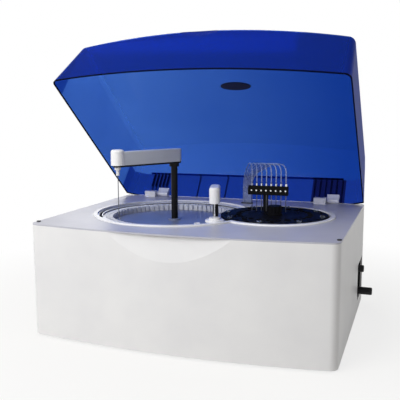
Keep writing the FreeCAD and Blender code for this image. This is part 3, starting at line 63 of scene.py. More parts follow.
# Cuvette lips: half sizes, height and their circle on the ring
LIP_OUTER = (6.8, 4.9)
LIP_INNER = (5.6, 3.7)
LIP_TALL = 1.2
LIP_FOOT_Z = DECK_Z - 6.0
CUVETTE_RADIUS = 205.0
CUVETTE_COUNT = 72
CUVETTE_FIRST_DEG = -120.0

# Bushes round the disc's inner holes: outline of radius and height, and their circle
BUSH_OUTLINE = [(9.0, 0.0), (11.0, 0.0), (10.8, 0.7), (10.0, 1.1), (9.0, 0.9)]
BUSH_SIDES = 24
BUSH_FOOT_Z = DECK_Z + 3.0
INNER_HOLE_RADIUS = 106.6
INNER_HOLE_COUNT = 24
INNER_HOLE_FIRST_DEG = 198.6

# Socket screws of the fixed plate: outline of radius and height, and their circle
SCREW_OUTLINE = [(0.0, 0.0), (4.0, 0.0), (4.0, 2.0), (3.4, 2.8), (1.8, 2.8), (1.6, 1.0), (0.0, 1.0)]
SCREW_SIDES = 18
SCREW_FOOT_Z = DECK_Z - 22.0
PLATE_SCREW_RADIUS = 172.0
PLATE_SCREW_COUNT = 6
PLATE_SCREW_FIRST_DEG = 15.0


def place(x: float, y: float, z: float) -> Vector:
    """Turns a point of the case's own frame, in millimetres, into the model's frame in metres.

    Args:
        x: Millimetres right of the case's middle.
        y: Millimetres behind the case's middle.
        z: Millimetres above the standing surface.

    Returns:
        The point in metres.
    """
    return Vector(((x + CASE_X) * MM, (y + CASE_Y) * MM, z * MM))


def linear(code: str, alpha: float = 1.0) -> tuple[float, float, float, float]:
    """Turns an sRGB hex colour into linear light.

    Args:
        code: Six hex digits after a hash sign.
        alpha: Opacity.

    Returns:
        Red, green, blue and alpha.
    """
    parts = [int(code[i : i + 2], 16) / 255 for i in (1, 3, 5)]
    bent = [c / 12.92 if c <= 0.04045 else ((c + 0.055) / 1.055) ** 2.4 for c in parts]
    return (bent[0], bent[1], bent[2], alpha)


def add(tree: bpy.types.NodeTree, kind: str, links: dict | None = None, **settings) -> bpy.types.Node:
    """Adds one node with its settings and its inputs.

    Args:
        tree: The node tree.
        kind: The node's type name.
        links: Input name or number to a value or to an output socket.
        **settings: Properties of the node.

    Returns:
        The new node.
    """
    made = tree.nodes.new(kind)
    for name, value in settings.items():
        setattr(made, name, value)
    for key, value in (links or {}).items():
        socket = made.inputs[key]
        if isinstance(value, bpy.types.NodeSocket):
            tree.links.new(value, socket)
        else:
            socket.default_value = value
    return made


class Grain(Enum):
    """How a surface was made, which sets the pattern of its fine relief."""

    SMOOTH = "smooth"
    MOULDED = "moulded"
    BRUSHED = "brushed"
    TURNED = "turned"


@dataclass(frozen=True)
class Finish:
    """One real finish, and the material that shows it.

    Attributes:
        name: Common name of the material and how its surface was made.
        colour: Main sRGB colour.
        second: Colour that the first one drifts to over a hand's breadth.
        rough: Roughness.
        metal: Metallic share.
        grain: Kind of fine relief.
        pitch_mm: Size of the relief.
        relief: Strength of the relief.
        coat: Clear coat weight.
        clear: Share of light that goes through.
        ior: Index of refraction.
        drift_mm: Size of the colour drift.
        marks: Share by which handling marks change the roughness.
    """

    name: str
    colour: str
    second: str = ""
    rough: float = 0.4
    metal: float = 0.0
    grain: Grain = Grain.MOULDED
    pitch_mm: float = 1.2
    relief: float = 0.08
    coat: float = 0.0
    clear: float = 0.0
    ior: float = 1.5
    drift_mm: float = 120.0
    marks: float = 0.15

    def start(self) -> tuple[bpy.types.Material, bpy.types.NodeTree, bpy.types.Node, bpy.types.Node]:
        """Makes the empty material, its shader and its coordinates.

        Returns:
            The material, its tree, the shader node and the coordinate node.
        """
        made = bpy.data.materials.new(self.name)
        made.use_nodes = True
        tree = made.node_tree
        tree.nodes.clear()
        shader = add(
            tree,
            "ShaderNodeBsdfPrincipled",
            {"Metallic": self.metal, "Coat Weight": self.coat, "Transmission Weight": self.clear},
        )
        if self.metal < 0.5:
            shader.inputs["IOR"].default_value = self.ior
        out = add(tree, "ShaderNodeOutputMaterial")
        tree.links.new(shader.outputs[0], out.inputs[0])
        return made, tree, shader, add(tree, "ShaderNodeTexCoord")

    def colour_socket(self, tree: bpy.types.NodeTree, coords: bpy.types.Node) -> bpy.types.NodeSocket:
        """Builds the drifting base colour.

        Args:
            tree: The material's tree.
            coords: Its coordinate node.

        Returns:
            The colour output.
        """
        drift = add(
            tree,
            "ShaderNodeTexNoise",
            {"Vector": coords.outputs["Object"], "Scale": 1000.0 / self.drift_mm, "Detail": 3.0},
        )
        ramp = add(tree, "ShaderNodeMapRange", {"Value": drift.outputs[0], "From Min": 0.3, "From Max": 0.7})
        mix = add(
            tree,
            "ShaderNodeMix",
            {0: ramp.outputs[0], 6: linear(self.colour), 7: linear(self.second or self.colour)},
            data_type="RGBA",
        )
        return mix.outputs[2]

    def relief_socket(self, tree: bpy.types.NodeTree, coords: bpy.types.Node) -> bpy.types.NodeSocket:
        """Builds the fine relief of the way the surface was made.

        Args:
            tree: The material's tree.
            coords: Its coordinate node.

        Returns:
            The bump node's normal output.
        """
        scale = 1000.0 / self.pitch_mm
        stretch = {
            Grain.SMOOTH: (0.2, 0.2, 0.2),
            Grain.MOULDED: (1.0, 1.0, 1.0),
            Grain.BRUSHED: (0.05, 1.0, 1.0),
            Grain.TURNED: (1.0, 1.0, 0.08),
        }[self.grain]
        mapped = add(tree, "ShaderNodeMapping", {"Vector": coords.outputs["Object"], "Scale": stretch})
        noise = add(tree, "ShaderNodeTexNoise", {"Vector": mapped.outputs[0], "Scale": scale, "Detail": 2.0})
        bump = add(
            tree,
            "ShaderNodeBump",
            {"Height": noise.outputs[0], "Strength": self.relief, "Distance": self.pitch_mm * MM * 0.25},
        )
        return bump.outputs[0]

    def rough_socket(self, tree: bpy.types.NodeTree, coords: bpy.types.Node) -> bpy.types.NodeSocket:
        """Builds the roughness with faint handling marks.

        Args:
            tree: The material's tree.
            coords: Its coordinate node.

        Returns:
            The roughness output.
        """
        marks = add(
            tree,
            "ShaderNodeTexNoise",
            {"Vector": coords.outputs["Object"], "Scale": 22.0, "Detail": 4.0, "Roughness": 0.6},
        )
        span = add(
            tree,
            "ShaderNodeMapRange",
            {
                "Value": marks.outputs[0],
                "To Min": self.rough * (1 - self.marks),
                "To Max": self.rough * (1 + self.marks),
            },
        )
        return span.outputs[0]

    def build(self) -> bpy.types.Material:
        """Builds the whole material.

        Returns:
            The finished material.
        """
        made, tree, shader, coords = self.start()
        tree.links.new(self.colour_socket(tree, coords), shader.inputs["Base Color"])
        tree.links.new(self.rough_socket(tree, coords), shader.inputs["Roughness"])
        tree.links.new(self.relief_socket(tree, coords), shader.inputs["Normal"])
        return made


@dataclass(frozen=True)
class RibbedZone:
    """A stretch of the lid's rear foot with upright ribs, which show darker than the sheet.

    Attributes:
        low: Left end, in millimetres on the case.
        high: Right end.
        first: Middle of the first rib.
        pitch: Distance from one rib to the next.
        sheet: Colour between the ribs.
        rib: Colour of the ribs.
    """

    low: float
    high: float
    first: float
    pitch: float
    sheet: str
    rib: str = "#0B1244"


@dataclass(frozen=True)
class TintedLid(Finish):
    """Tinted clear plastic of the lid: bright where light comes through, navy where it is doubled, with
    painted shade on its front wall and right side.

    Attributes:
        right: Painted shade: colour that the sheet darkens to at its right side, away from the light.
        front: Colour of the steep front wall, darker than the sheet as painted shade.
        edge: Colour of the dark sealing edge round the rim.
        band: Colour of the foot of the rear wall.
        edge_mm: Height of the sealing edge.
        band_mm: Height of the rear foot.
        rib_mm: Thickness of a rib as it shows.
        side_mm: Half width beyond which a point lies on a side wall.
        side_rough: Roughness of the side walls, which are satin.
        edge_rough: Roughness of the sealing edge.
        shade_fade_mm: Half width over which the painted shade darkens the sheet from its left side to its
            right.
        foot_mm: Line from the hinge, behind which the rear foot lies.
        front_mm: Line from the hinge, before which the front wall lies.
        zones: The ribbed zones over the hinges and the two gussets between them.
    """

    # Painted shade: the sheet darkens from its left side to its right, away from the key light.
    right: str = "#1B49B0"
    # Painted shade: the steep front wall is darker, standing in for the light it loses.
    front: str = "#1F47AE"
    edge: str = "#070A1E"
    band: str = "#1E40A6"
    edge_mm: float = 3.2
    band_mm: float = 97.0
    rib_mm: float = 5.0
    side_mm: float = 406.0
    side_rough: float = 0.5
    edge_rough: float = 0.7
    shade_fade_mm: float = 360.0
    foot_mm: float = -55.0
    front_mm: float = -565.0
    zones: tuple[RibbedZone, ...] = (
        RibbedZone(-350.0, -276.0, -340.0, 14.0, "#1A3795"),
        RibbedZone(252.0, 364.0, 261.0, 18.6, "#131C5C", "#080C30"),
        RibbedZone(-163.0, -157.0, -160.0, 100.0, "#1E40A6"),
        RibbedZone(-58.0, -52.0, -55.0, 100.0, "#1E40A6"),
    )

    def closed_point(self, tree: bpy.types.NodeTree, coords: bpy.types.Node) -> bpy.types.Node:
        """Measures where a point lies on the closed lid.

        Args:
            tree: The material's tree.
            coords: Its coordinate node.

        Returns:
            A node whose outputs are X, Y and Z on the closed lid, from the hinge line.
        """
        hinge = place(0.0, HINGE_Y, HINGE_Z)
        moved = add(
            tree, "ShaderNodeVectorMath", {0: coords.outputs["Object"], 1: hinge}, operation="SUBTRACT"
        )
        turn = add(
            tree,
            "ShaderNodeVectorRotate",
            {"Vector": moved.outputs[0], "Angle": math.radians(LID_OPEN)},
            rotation_type="X_AXIS",
        )
        return add(tree, "ShaderNodeSeparateXYZ", {0: turn.outputs[0]})

    def test(
        self, tree: bpy.types.NodeTree, socket: bpy.types.NodeSocket, limit: float, above: bool
    ) -> bpy.types.NodeSocket:
        """Tests a coordinate against a limit.

        Args:
            tree: The material's tree.
            socket: The coordinate, in metres.
            limit: The limit, in metres.
            above: Whether one is given above the limit, and not below it.

        Returns:
            One where the test holds, and zero elsewhere.
        """
        kind = "GREATER_THAN" if above else "LESS_THAN"
        return add(tree, "ShaderNodeMath", {0: socket, 1: limit}, operation=kind).outputs[0]

    def both(
        self, tree: bpy.types.NodeTree, one: bpy.types.NodeSocket, other: bpy.types.NodeSocket
    ) -> bpy.types.NodeSocket:
        """Gives the product of two masks.

        Args:
            tree: The material's tree.
            one: The first mask.
            other: The second mask.

        Returns:
            Their product.
        """
        return add(tree, "ShaderNodeMath", {0: one, 1: other}, operation="MULTIPLY").outputs[0]

    def between(
        self, tree: bpy.types.NodeTree, socket: bpy.types.NodeSocket, low: float, high: float
    ) -> bpy.types.NodeSocket:
        """Tests that a coordinate lies between two limits.

        Args:
            tree: The material's tree.
            socket: The coordinate, in metres.
            low: Lower limit, in metres.
            high: Upper limit, in metres.

        Returns:
            One between the limits, and zero elsewhere.
        """
        above = self.test(tree, socket, low, True)
        return self.both(tree, above, self.test(tree, socket, high, False))

    def ribs(
        self, tree: bpy.types.NodeTree, across: bpy.types.NodeSocket, zone: RibbedZone
    ) -> bpy.types.NodeSocket:
        """Builds the mask of a zone's evenly spaced ribs.

        Args:
            tree: The material's tree.
            across: The coordinate across the lid, in metres.
            zone: The zone.

        Returns:
            One on a rib, and zero elsewhere.
        """
        start = add(
            tree,
            "ShaderNodeMath",
            {0: across, 1: (zone.first - self.rib_mm / 2) * MM},
            operation="SUBTRACT",
        )
        along = add(
            tree, "ShaderNodeMath", {0: start.outputs[0], 1: zone.pitch * MM}, operation="FLOORED_MODULO"
        )
        return self.test(tree, along.outputs[0], self.rib_mm * MM, False)

    def tints(
        self, tree: bpy.types.NodeTree, closed: bpy.types.Node
    ) -> list[tuple[bpy.types.NodeSocket, str]]:
        """Builds the lid's tints and its painted shade in the order in which they cover each other.

        Args:
            tree: The material's tree.
            closed: The node that gives the place on the closed lid.

        Returns:
            A mask and an sRGB colour for each tint, with the sealing edge last.
        """
        across, back, up = closed.outputs[0], closed.outputs[1], closed.outputs[2]
        rim = DECK_Z + RIM_GAP - HINGE_Z
        # Painted shade: across the lid the sheet darkens from left to right, as the light falls from the
        # left.
        fade = self.shade_fade_mm * MM
        side = add(tree, "ShaderNodeMapRange", {"Value": across, "From Min": -fade, "From Max": fade})
        foot = self.both(
            tree,
            self.test(tree, up, (rim + self.band_mm) * MM, False),
            self.test(tree, back, self.foot_mm * MM, True),
        )
        found = [
            (side.outputs[0], self.right),
            # Painted shade: the front wall is darker than the sheet.
            (self.test(tree, back, self.front_mm * MM, False), self.front),
            (foot, self.band),
        ]
        for zone in self.zones:
            inside = self.both(tree, foot, self.between(tree, across, zone.low * MM, zone.high * MM))
            found.append((inside, zone.sheet))
            found.append((self.both(tree, inside, self.ribs(tree, across, zone)), zone.rib))
        found.append((self.test(tree, up, (rim + self.edge_mm) * MM, False), self.edge))
        return found

    def build(self) -> bpy.types.Material:
        """Builds the lid's material.

        Returns:
            The finished material.
        """
        made, tree, shader, coords = self.start()
        closed = self.closed_point(tree, coords)
        tone = self.colour_socket(tree, coords)
        tints = self.tints(tree, closed)
        for mask, code in tints:
            tone = add(
                tree, "ShaderNodeMix", {0: mask, 6: tone, 7: linear(code)}, data_type="RGBA"
            ).outputs[2]
        edge = tints[-1][0]
        sealed = add(tree, "ShaderNodeMix", {0: edge, 2: self.clear, 3: 0.0}, data_type="FLOAT")
        width = add(tree, "ShaderNodeMath", {0: closed.outputs[0]}, operation="ABSOLUTE")
        side = self.test(tree, width.outputs[0], self.side_mm * MM, True)
        satin = add(
            tree,
            "ShaderNodeMix",
            {0: side, 2: self.rough_socket(tree, coords), 3: self.side_rough},
            data_type="FLOAT",
        )
        rough = add(
            tree,
            "ShaderNodeMix",
            {0: edge, 2: satin.outputs[0], 3: self.edge_rough},
            data_type="FLOAT",
        )
        tree.links.new(tone, shader.inputs["Base Color"])
        tree.links.new(sealed.outputs[0], shader.inputs["Transmission Weight"])
        tree.links.new(rough.outputs[0], shader.inputs["Roughness"])
        tree.links.new(self.relief_socket(tree, coords), shader.inputs["Normal"])
        return made


@dataclass(frozen=True)
class LitAndShadedArm(Finish):
    """Painted arm cover whose round head over the needle is whiter than its beam: painted light on the head
    and painted shade on the beam.

    Attributes:
        head: Colour of the round head, whiter than the beam as painted light.
        head_x: Needle's place along X on the case, in millimetres.
        head_y: Needle's place along Y on the case, in millimetres.
        head_mm: Radius of the head.
    """

    head: str = "#F4F4F5"
    head_x: float = -214.5
    head_y: float = -197.5
    head_mm: float = 19.4

    def build(self) -> bpy.types.Material:
        """Builds the arm's material.

        Returns:
            The finished material.
        """
        made, tree, shader, coords = self.start()
        flat = add(
            tree, "ShaderNodeVectorMath", {0: coords.outputs["Object"], 1: (1, 1, 0)}, operation="MULTIPLY"
        )
        needle = place(self.head_x, self.head_y, 0.0)
        reach = add(tree, "ShaderNodeVectorMath", {0: flat.outputs[0], 1: needle}, operation="DISTANCE")
        inside = add(
            tree, "ShaderNodeMath", {0: reach.outputs[1], 1: self.head_mm * MM}, operation="LESS_THAN"
        )
        # Painted light and shade: the head is whiter and the beam greyer.
        tone = add(
            tree,
            "ShaderNodeMix",
            {0: inside.outputs[0], 6: self.colour_socket(tree, coords), 7: linear(self.head)},
            data_type="RGBA",
        )
        tree.links.new(tone.outputs[2], shader.inputs["Base Color"])
        tree.links.new(self.rough_socket(tree, coords), shader.inputs["Roughness"])
        tree.links.new(self.relief_socket(tree, coords), shader.inputs["Normal"])
        return made


# Injection-moulded ABS, spark-eroded: an even, faintly pebbled white that spreads its highlights.
CASE_WHITE = Finish("moulded_abs_white", "#E8E8E9", "#E2E2E4", rough=0.42, relief=0.12)
# Moulded ABS in pale grey: satin, so that the arms show as soft streaks in it.
DECK_GREY = Finish("moulded_abs_lavender_grey", "#BEBEC8", "#B6B6C2", rough=0.34, relief=0.08)
# Polished ABS bead: tight highlights along both round wells.
BEAD_WHITE = Finish("polished_abs_bead", "#F1F1F3", "#E9E9EC", rough=0.22, grain=Grain.SMOOTH)
# Thermoformed tinted acrylic: glossy, a little wavy, and see-through.
LID_BLUE = TintedLid(
    "thermoformed_tinted_acrylic",
    "#4C7FDA",
    "#4274D2",
    rough=0.1,
    grain=Grain.SMOOTH,
    pitch_mm=60.0,
    relief=0.015,
    clear=0.72,
    ior=1.1,
    drift_mm=300.0,
    marks=0.01,
)
# Matt foam pad glued under the lid: no highlight at all.
OVAL_DARK = Finish("matt_foam_pad", "#141B3C", "#1A2247", rough=0.8, pitch_mm=0.8, relief=0.3)
# Vacuum-formed liner, satin: its charcoal is partly painted shade, darkening the wells' walls where they lie
# in shadow.
WELL_SHADE_LINER = Finish("charcoal_liner_and_painted_shade", "#26262B", "#303036", rough=0.5)
# Satin anodised aluminium, turned: faint rings run round it.
GUARD_PALE = Finish(
    "turned_anodised_aluminium", "#D9DBE2", "#CFD2DA", rough=0.34, metal=0.55, grain=Grain.TURNED
)
# Satin blue-grey plate: a soft streak of the lid lies in it.
PLATE_BLUE = Finish(
    "satin_blue_grey_anodised_plate", "#8089A6", "#757E9C", rough=0.36, metal=0.15, grain=Grain.SMOOTH
)
# Moulded polystyrene: pale and clean, with slightly glassy edges.
RING_PALE = Finish("moulded_polystyrene_ring", "#E3E5EC", "#D8DBE4", rough=0.3, relief=0.05)
# Turned acetal, black: semi-gloss with fine turning marks.
DISC_BLACK = Finish(
    "turned_black_acetal", "#08080C", "#0C0C12", rough=0.55, grain=Grain.TURNED, ior=1.18
)
# Moulded nylon, black: satin, with a fine pebble.
BLACK_NYLON = Finish("moulded_black_nylon", "#101014", "#15151A", rough=0.5, relief=0.15, ior=1.36)
# Painted ABS arm cover: painted shade in the cool grey beam and painted light in the white head.
ARM_PAINT = LitAndShadedArm("painted_abs_arm", "#CBCFD8", "#C2C6D0", rough=0.4, relief=0.05)
# Polished white ABS: bright, with small tight highlights.
HEAD_WHITE = Finish("polished_white_abs", "#F2F2F4", "#EBEBEE", rough=0.25, grain=Grain.SMOOTH, coat=0.2)
# Black anodised column: satin with fine upright drawing marks.
COLUMN_BLACK = Finish(
    "black_anodised_column", "#09090C", "#0D0D11", rough=0.45, grain=Grain.TURNED, ior=1.25
)
# Drawn stainless steel: bright, brushed along its length.
STEEL = Finish("drawn_stainless_steel", "#C9CBD0", "#BFC1C7", rough=0.26, metal=1.0, grain=Grain.TURNED)
# Drawn needle tube: thin, and dark against the lid.
NEEDLE = Finish("drawn_needle_tube", "#6E7077", "#64666D", rough=0.35, metal=0.8, grain=Grain.TURNED)
# Nickel plating: nearly a mirror.
NICKEL = Finish("nickel_plate", "#D8D9DC", "#CFD0D4", rough=0.14, metal=1.0, grain=Grain.SMOOTH)
# Extruded silicone tube: milky and soft in its highlights.
TUBE_CLEAR = Finish(
    "extruded_silicone_tube", "#C4CEE6", "#B8C3DE", rough=0.28, grain=Grain.SMOOTH, clear=0.45, ior=1.41
)
# Clear moulded polystyrene cup.
CUP_CLEAR = Finish("clear_polystyrene", "#EAF0F6", "#E2EAF2", rough=0.06, grain=Grain.SMOOTH, clear=0.94)
# Powder-coated die casting: white with a fine orange peel.
HINGE_WHITE = Finish("powder_coated_hinge", "#EDEDEF", "#E4E4E8", rough=0.38, pitch_mm=1.6, relief=0.2)
# Moulded rubber: matt black.
RUBBER = Finish("moulded_rubber", "#101012", "#18181B", rough=0.75, relief=0.25)
# Zinc-plated sheet: dull grey with soft rolling marks.
ZINC = Finish("zinc_plated_sheet", "#9A9DA3", "#8B8E95", rough=0.4, metal=0.9, grain=Grain.BRUSHED)
# Hard black anodising on the wash head's bar: nearly no highlight, so that its fittings stand out.
BAR_BLACK = Finish("hard_anodised_bar", "#050506", "#08080A", rough=0.5, ior=1.2)
# Solder mask over glass fibre: deep green, slightly glossy.
BOARD = Finish("solder_mask_green", "#175B33", "#1C6A3C", rough=0.35)

NODE_FINISH: dict[str, Finish] = {
    "housing": CASE_WHITE,
    "deck_cover": DECK_GREY,
    "rim_trim": BEAD_WHITE,
    "floor_plate": ZINC,
    "feet": RUBBER,
    "lid_bumpers": RUBBER,
    # Charcoal liner: partly painted shade inside both wells.
    "well_liner": WELL_SHADE_LINER,
    "ring_guard": GUARD_PALE,
    "tube_grommet": RUBBER,
    "side_panel": BLACK_NYLON,
    "upper_fitting": BLACK_NYLON,
    "lower_fitting": BLACK_NYLON,
    "power_inlet": BLACK_NYLON,
    "power_rocker": BLACK_NYLON,
    "fan_frame": BLACK_NYLON,
    "fan_rotor": BLACK_NYLON,
    "power_supply": ZINC,
    "control_board": BOARD,
    "syringe_pump": ZINC,
    "drive_bearings": STEEL,
    "drive_belts": RUBBER,
    "drive_motors": COLUMN_BLACK,
    "motor_brackets": ZINC,
    "motor_pulleys": STEEL,
    "ring_pedestal": ZINC,
    "ring_pulley": GUARD_PALE,
    "disc_pedestal": ZINC,
    "disc_pulley": GUARD_PALE,
    "ring_carrier": GUARD_PALE,
    "cuvette_ring": RING_PALE,
    "inner_plate": PLATE_BLUE,
    "mixing_port": HEAD_WHITE,
    "wash_well": HEAD_WHITE,
    "disc_drum": WELL_SHADE_LINER,
    "reagent_disc": DISC_BLACK,
    "disc_knobs": DISC_BLACK,
    "sample_cups": CUP_CLEAR,
    "disc_centre": DISC_BLACK,
    "hub_knob": DISC_BLACK,
    "probe_column": COLUMN_BLACK,
    "probe_plate": COLUMN_BLACK,
    "probe_arm": ARM_PAINT,
    "probe_holder": HEAD_WHITE,
    "probe_needle": NEEDLE,
    "mixer_column": COLUMN_BLACK,
    "mixer_head": HEAD_WHITE,
    "mixer_rod": STEEL,
    "wash_column": COLUMN_BLACK,
    "wash_bar": BAR_BLACK,
    "wash_needles": NEEDLE,
    "wash_ferrules": NICKEL,
    "wash_screws": NICKEL,
    "wash_tubes": TUBE_CLEAR,
    "lid_shell": LID_BLUE,
    "lid_oval_plate": OVAL_DARK,
    "hinges_fixed": HINGE_WHITE,
    "hinges_moving": HINGE_WHITE,
    "hinge_pins": STEEL,
}


class Paintbox:
    """Keeps one built material for each finish."""

    def __init__(self) -> None:
        """Starts with no material built."""
        self.built: dict[str, bpy.types.Material] = {}

    def get(self, finish: Finish) -> bpy.types.Material:
        """Gives the material of a finish.

        Args:
            finish: The finish.

        Returns:
            Its material, built at the first call.
        """
        if finish.name not in self.built:
            self.built[finish.name] = finish.build()
        return self.built[finish.name]

    def dress(self, thing: bpy.types.Object, finish: Finish) -> None:
        """Gives an object one finish in all its slots.

        Args:
            thing: The object.
            finish: The finish.
        """
        material = self.get(finish)
        if not thing.material_slots:
            thing.data.materials.append(material)
        for slot in thing.material_slots:
            slot.material = material


@dataclass
class CirclePattern:
    """Small copies spread evenly on a circle by a node tree.

    Attributes:
        name: Name of the finished piece.
        body: Body that carries it.
        slot: Finish slot of the record; not used.
        centre: Middle of the circle on the case, in millimetres.
        radius_mm: Radius of the circle.
        count: Number of copies.
        first_deg: Angle of the first copy.
        height_mm: Height of the copies' foot.
        finish: Finish of the copies.
    """

    name: str
    body: str
    slot: str
    centre: tuple[float, float]
    radius_mm: float
    count: int
    first_deg: float
    height_mm: float
    finish: Finish

    def tree(self, one: bpy.types.Object, material: bpy.types.Material) -> bpy.types.NodeTree:
        """Builds the node tree that spreads the copies.

        Args:
            one: The piece to copy.
            material: Its material.

        Returns:
            The node tree.
        """
        tree = bpy.data.node_groups.new(self.name + "_spread", "GeometryNodeTree")
        face = tree.interface
        face.new_socket("Geometry", in_out="INPUT", socket_type="NodeSocketGeometry")
        kinds = {"Radius": "NodeSocketFloat", "Count": "NodeSocketInt", "First": "NodeSocketFloat"}
        for label, kind in kinds.items():
            face.new_socket(label, in_out="INPUT", socket_type=kind)
        face.new_socket("Geometry", in_out="OUTPUT", socket_type="NodeSocketGeometry")
        ins = add(tree, "NodeGroupInput")
        ring = add(
            tree,
            "GeometryNodeMeshCircle",
            {"Vertices": ins.outputs["Count"], "Radius": ins.outputs["Radius"]},
        )
        number = add(tree, "GeometryNodeInputIndex")
        step = add(tree, "ShaderNodeMath", {0: 2 * math.pi, 1: ins.outputs["Count"]}, operation="DIVIDE")
        turn = add(tree, "ShaderNodeMath", {0: number.outputs[0], 1: step.outputs[0]}, operation="MULTIPLY")
        spin = add(tree, "ShaderNodeCombineXYZ", {2: turn.outputs[0]})
        source = add(tree, "GeometryNodeObjectInfo", {"Object": one})
        spread = add(
            tree,
            "GeometryNodeInstanceOnPoints",
            {
                "Points": ring.outputs[0],
                "Instance": source.outputs["Geometry"],
                "Rotation": spin.outputs[0],
            },
        )
        whole_turn = add(tree, "ShaderNodeCombineXYZ", {2: ins.outputs["First"]})
        turned = add(
            tree,
            "GeometryNodeTransform",
            {"Geometry": spread.outputs[0], "Rotation": whole_turn.outputs[0]},
        )
        centre = place(self.centre[0], self.centre[1], self.height_mm)
        moved = add(
            tree, "GeometryNodeTransform", {"Geometry": turned.outputs[0], "Translation": centre}
        )
        real = add(tree, "GeometryNodeRealizeInstances", {0: moved.outputs[0]})
        painted = add(tree, "GeometryNodeSetMaterial", {"Geometry": real.outputs[0], "Material": material})
        out = add(tree, "NodeGroupOutput")
        tree.links.new(painted.outputs[0], out.inputs[0])
        return tree

    def build(self, one: bpy.types.Object, paints: Paintbox) -> bpy.types.Object:
        """Spreads the copies, turns them into one mesh and puts it on its body.

        Args:
            one: The piece to copy, which is removed afterwards.
            paints: The materials.

        Returns:
            The finished piece.
        """
        holder = bpy.data.objects.new(self.name + "_seed", bpy.data.meshes.new(self.name + "_seed"))
        bpy.context.scene.collection.objects.link(holder)
        modifier = holder.modifiers.new("spread", "NODES")
        modifier.node_group = self.tree(one, paints.get(self.finish))
        values = {"Radius": self.radius_mm * MM, "Count": self.count, "First": math.radians(self.first_deg)}
        for item in modifier.node_group.interface.items_tree:
            if item.in_out == "INPUT" and item.name in values:
                modifier[item.identifier] = values[item.name]
        graph = bpy.context.evaluated_depsgraph_get()
        mesh = bpy.data.meshes.new_from_object(holder.evaluated_get(graph), depsgraph=graph)
        mesh.name = self.name
        piece = bpy.data.objects.new(self.name, mesh)
        bpy.context.scene.collection.objects.link(piece)
        bpy.data.objects.remove(holder)
        bpy.data.objects.remove(one)
        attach(piece, self.body)
        LOG.info("%s: %d faces on %s", self.name, len(mesh.polygons), self.body)
        return piece


def ring_mesh(name: str, outline: list[tuple[float, float]], sides: int) -> bpy.types.Object:
    """Turns a closed outline of radius and height round the upright axis.

    Args:
        name: Name of the object.
        outline: Radius and height pairs in millimetres, run anticlockwise seen with height up.
        sides: Number of steps round the axis.

    Returns:
        The new object.
    """
    points = []
    faces = []
    rows = len(outline)
    for i in range(sides):
        turn = 2 * math.pi * i / sides
        for radius, height in outline:
            points.append((radius * math.cos(turn) * MM, radius * math.sin(turn) * MM, height * MM))
    for i in range(sides):
        for k in range(rows):
            a = i * rows + k
            b = i * rows + (k + 1) % rows
            c = ((i + 1) % sides) * rows + (k + 1) % rows
            d = ((i + 1) % sides) * rows + k
            faces.append((a, d, c, b))
    return mesh_object(name, points, faces)


def mesh_object(name: str, points: list, faces: list) -> bpy.types.Object:
    """Makes an object whose faces point outwards.

    Args:
        name: Name of the object.
        points: Corner points in metres.
        faces: Corner numbers of each face.

    Returns:
        The new object.
    """
    mesh = bpy.data.meshes.new(name)
    mesh.from_pydata(points, [], faces)
    work = bmesh.new()
    work.from_mesh(mesh)
    bmesh.ops.remove_doubles(work, verts=work.verts, dist=1e-7)
    bmesh.ops.recalc_face_normals(work, faces=work.faces)
    work.to_mesh(mesh)
    work.free()
    thing = bpy.data.objects.new(name, mesh)
    bpy.context.scene.collection.objects.link(thing)
    return thing


def frame_mesh(
    name: str, outer: tuple[float, float], inner: tuple[float, float], tall: float
) -> bpy.types.Object:
    """Makes an upright rectangular frame whose top edges are slanted.

    Args:
        name: Name of the object.
        outer: Outer half sizes in millimetres.
        inner: Inner half sizes in millimetres.
        tall: Height in millimetres.

    Returns:
        The new object.
    """
    outer_slant, inner_slant = 0.4, 0.5
    rings = [
        (outer, 0.0),
        (outer, tall * 0.6),
        ((outer[0] - outer_slant, outer[1] - outer_slant), tall),
        ((inner[0] + inner_slant, inner[1] + inner_slant), tall),
        (inner, tall * 0.5),
        (inner, 0.0),
    ]
    points = []
    for (half_x, half_y), height in rings:
        for sx, sy in ((-1, -1), (1, -1), (1, 1), (-1, 1)):
            points.append((sx * half_x * MM, sy * half_y * MM, height * MM))
    faces = []
    for r in range(len(rings)):
        n = (r + 1) % len(rings)
        for k in range(4):
            faces.append((r * 4 + k, r * 4 + (k + 1) % 4, n * 4 + (k + 1) % 4, n * 4 + k))
    return mesh_object(name, points, faces)


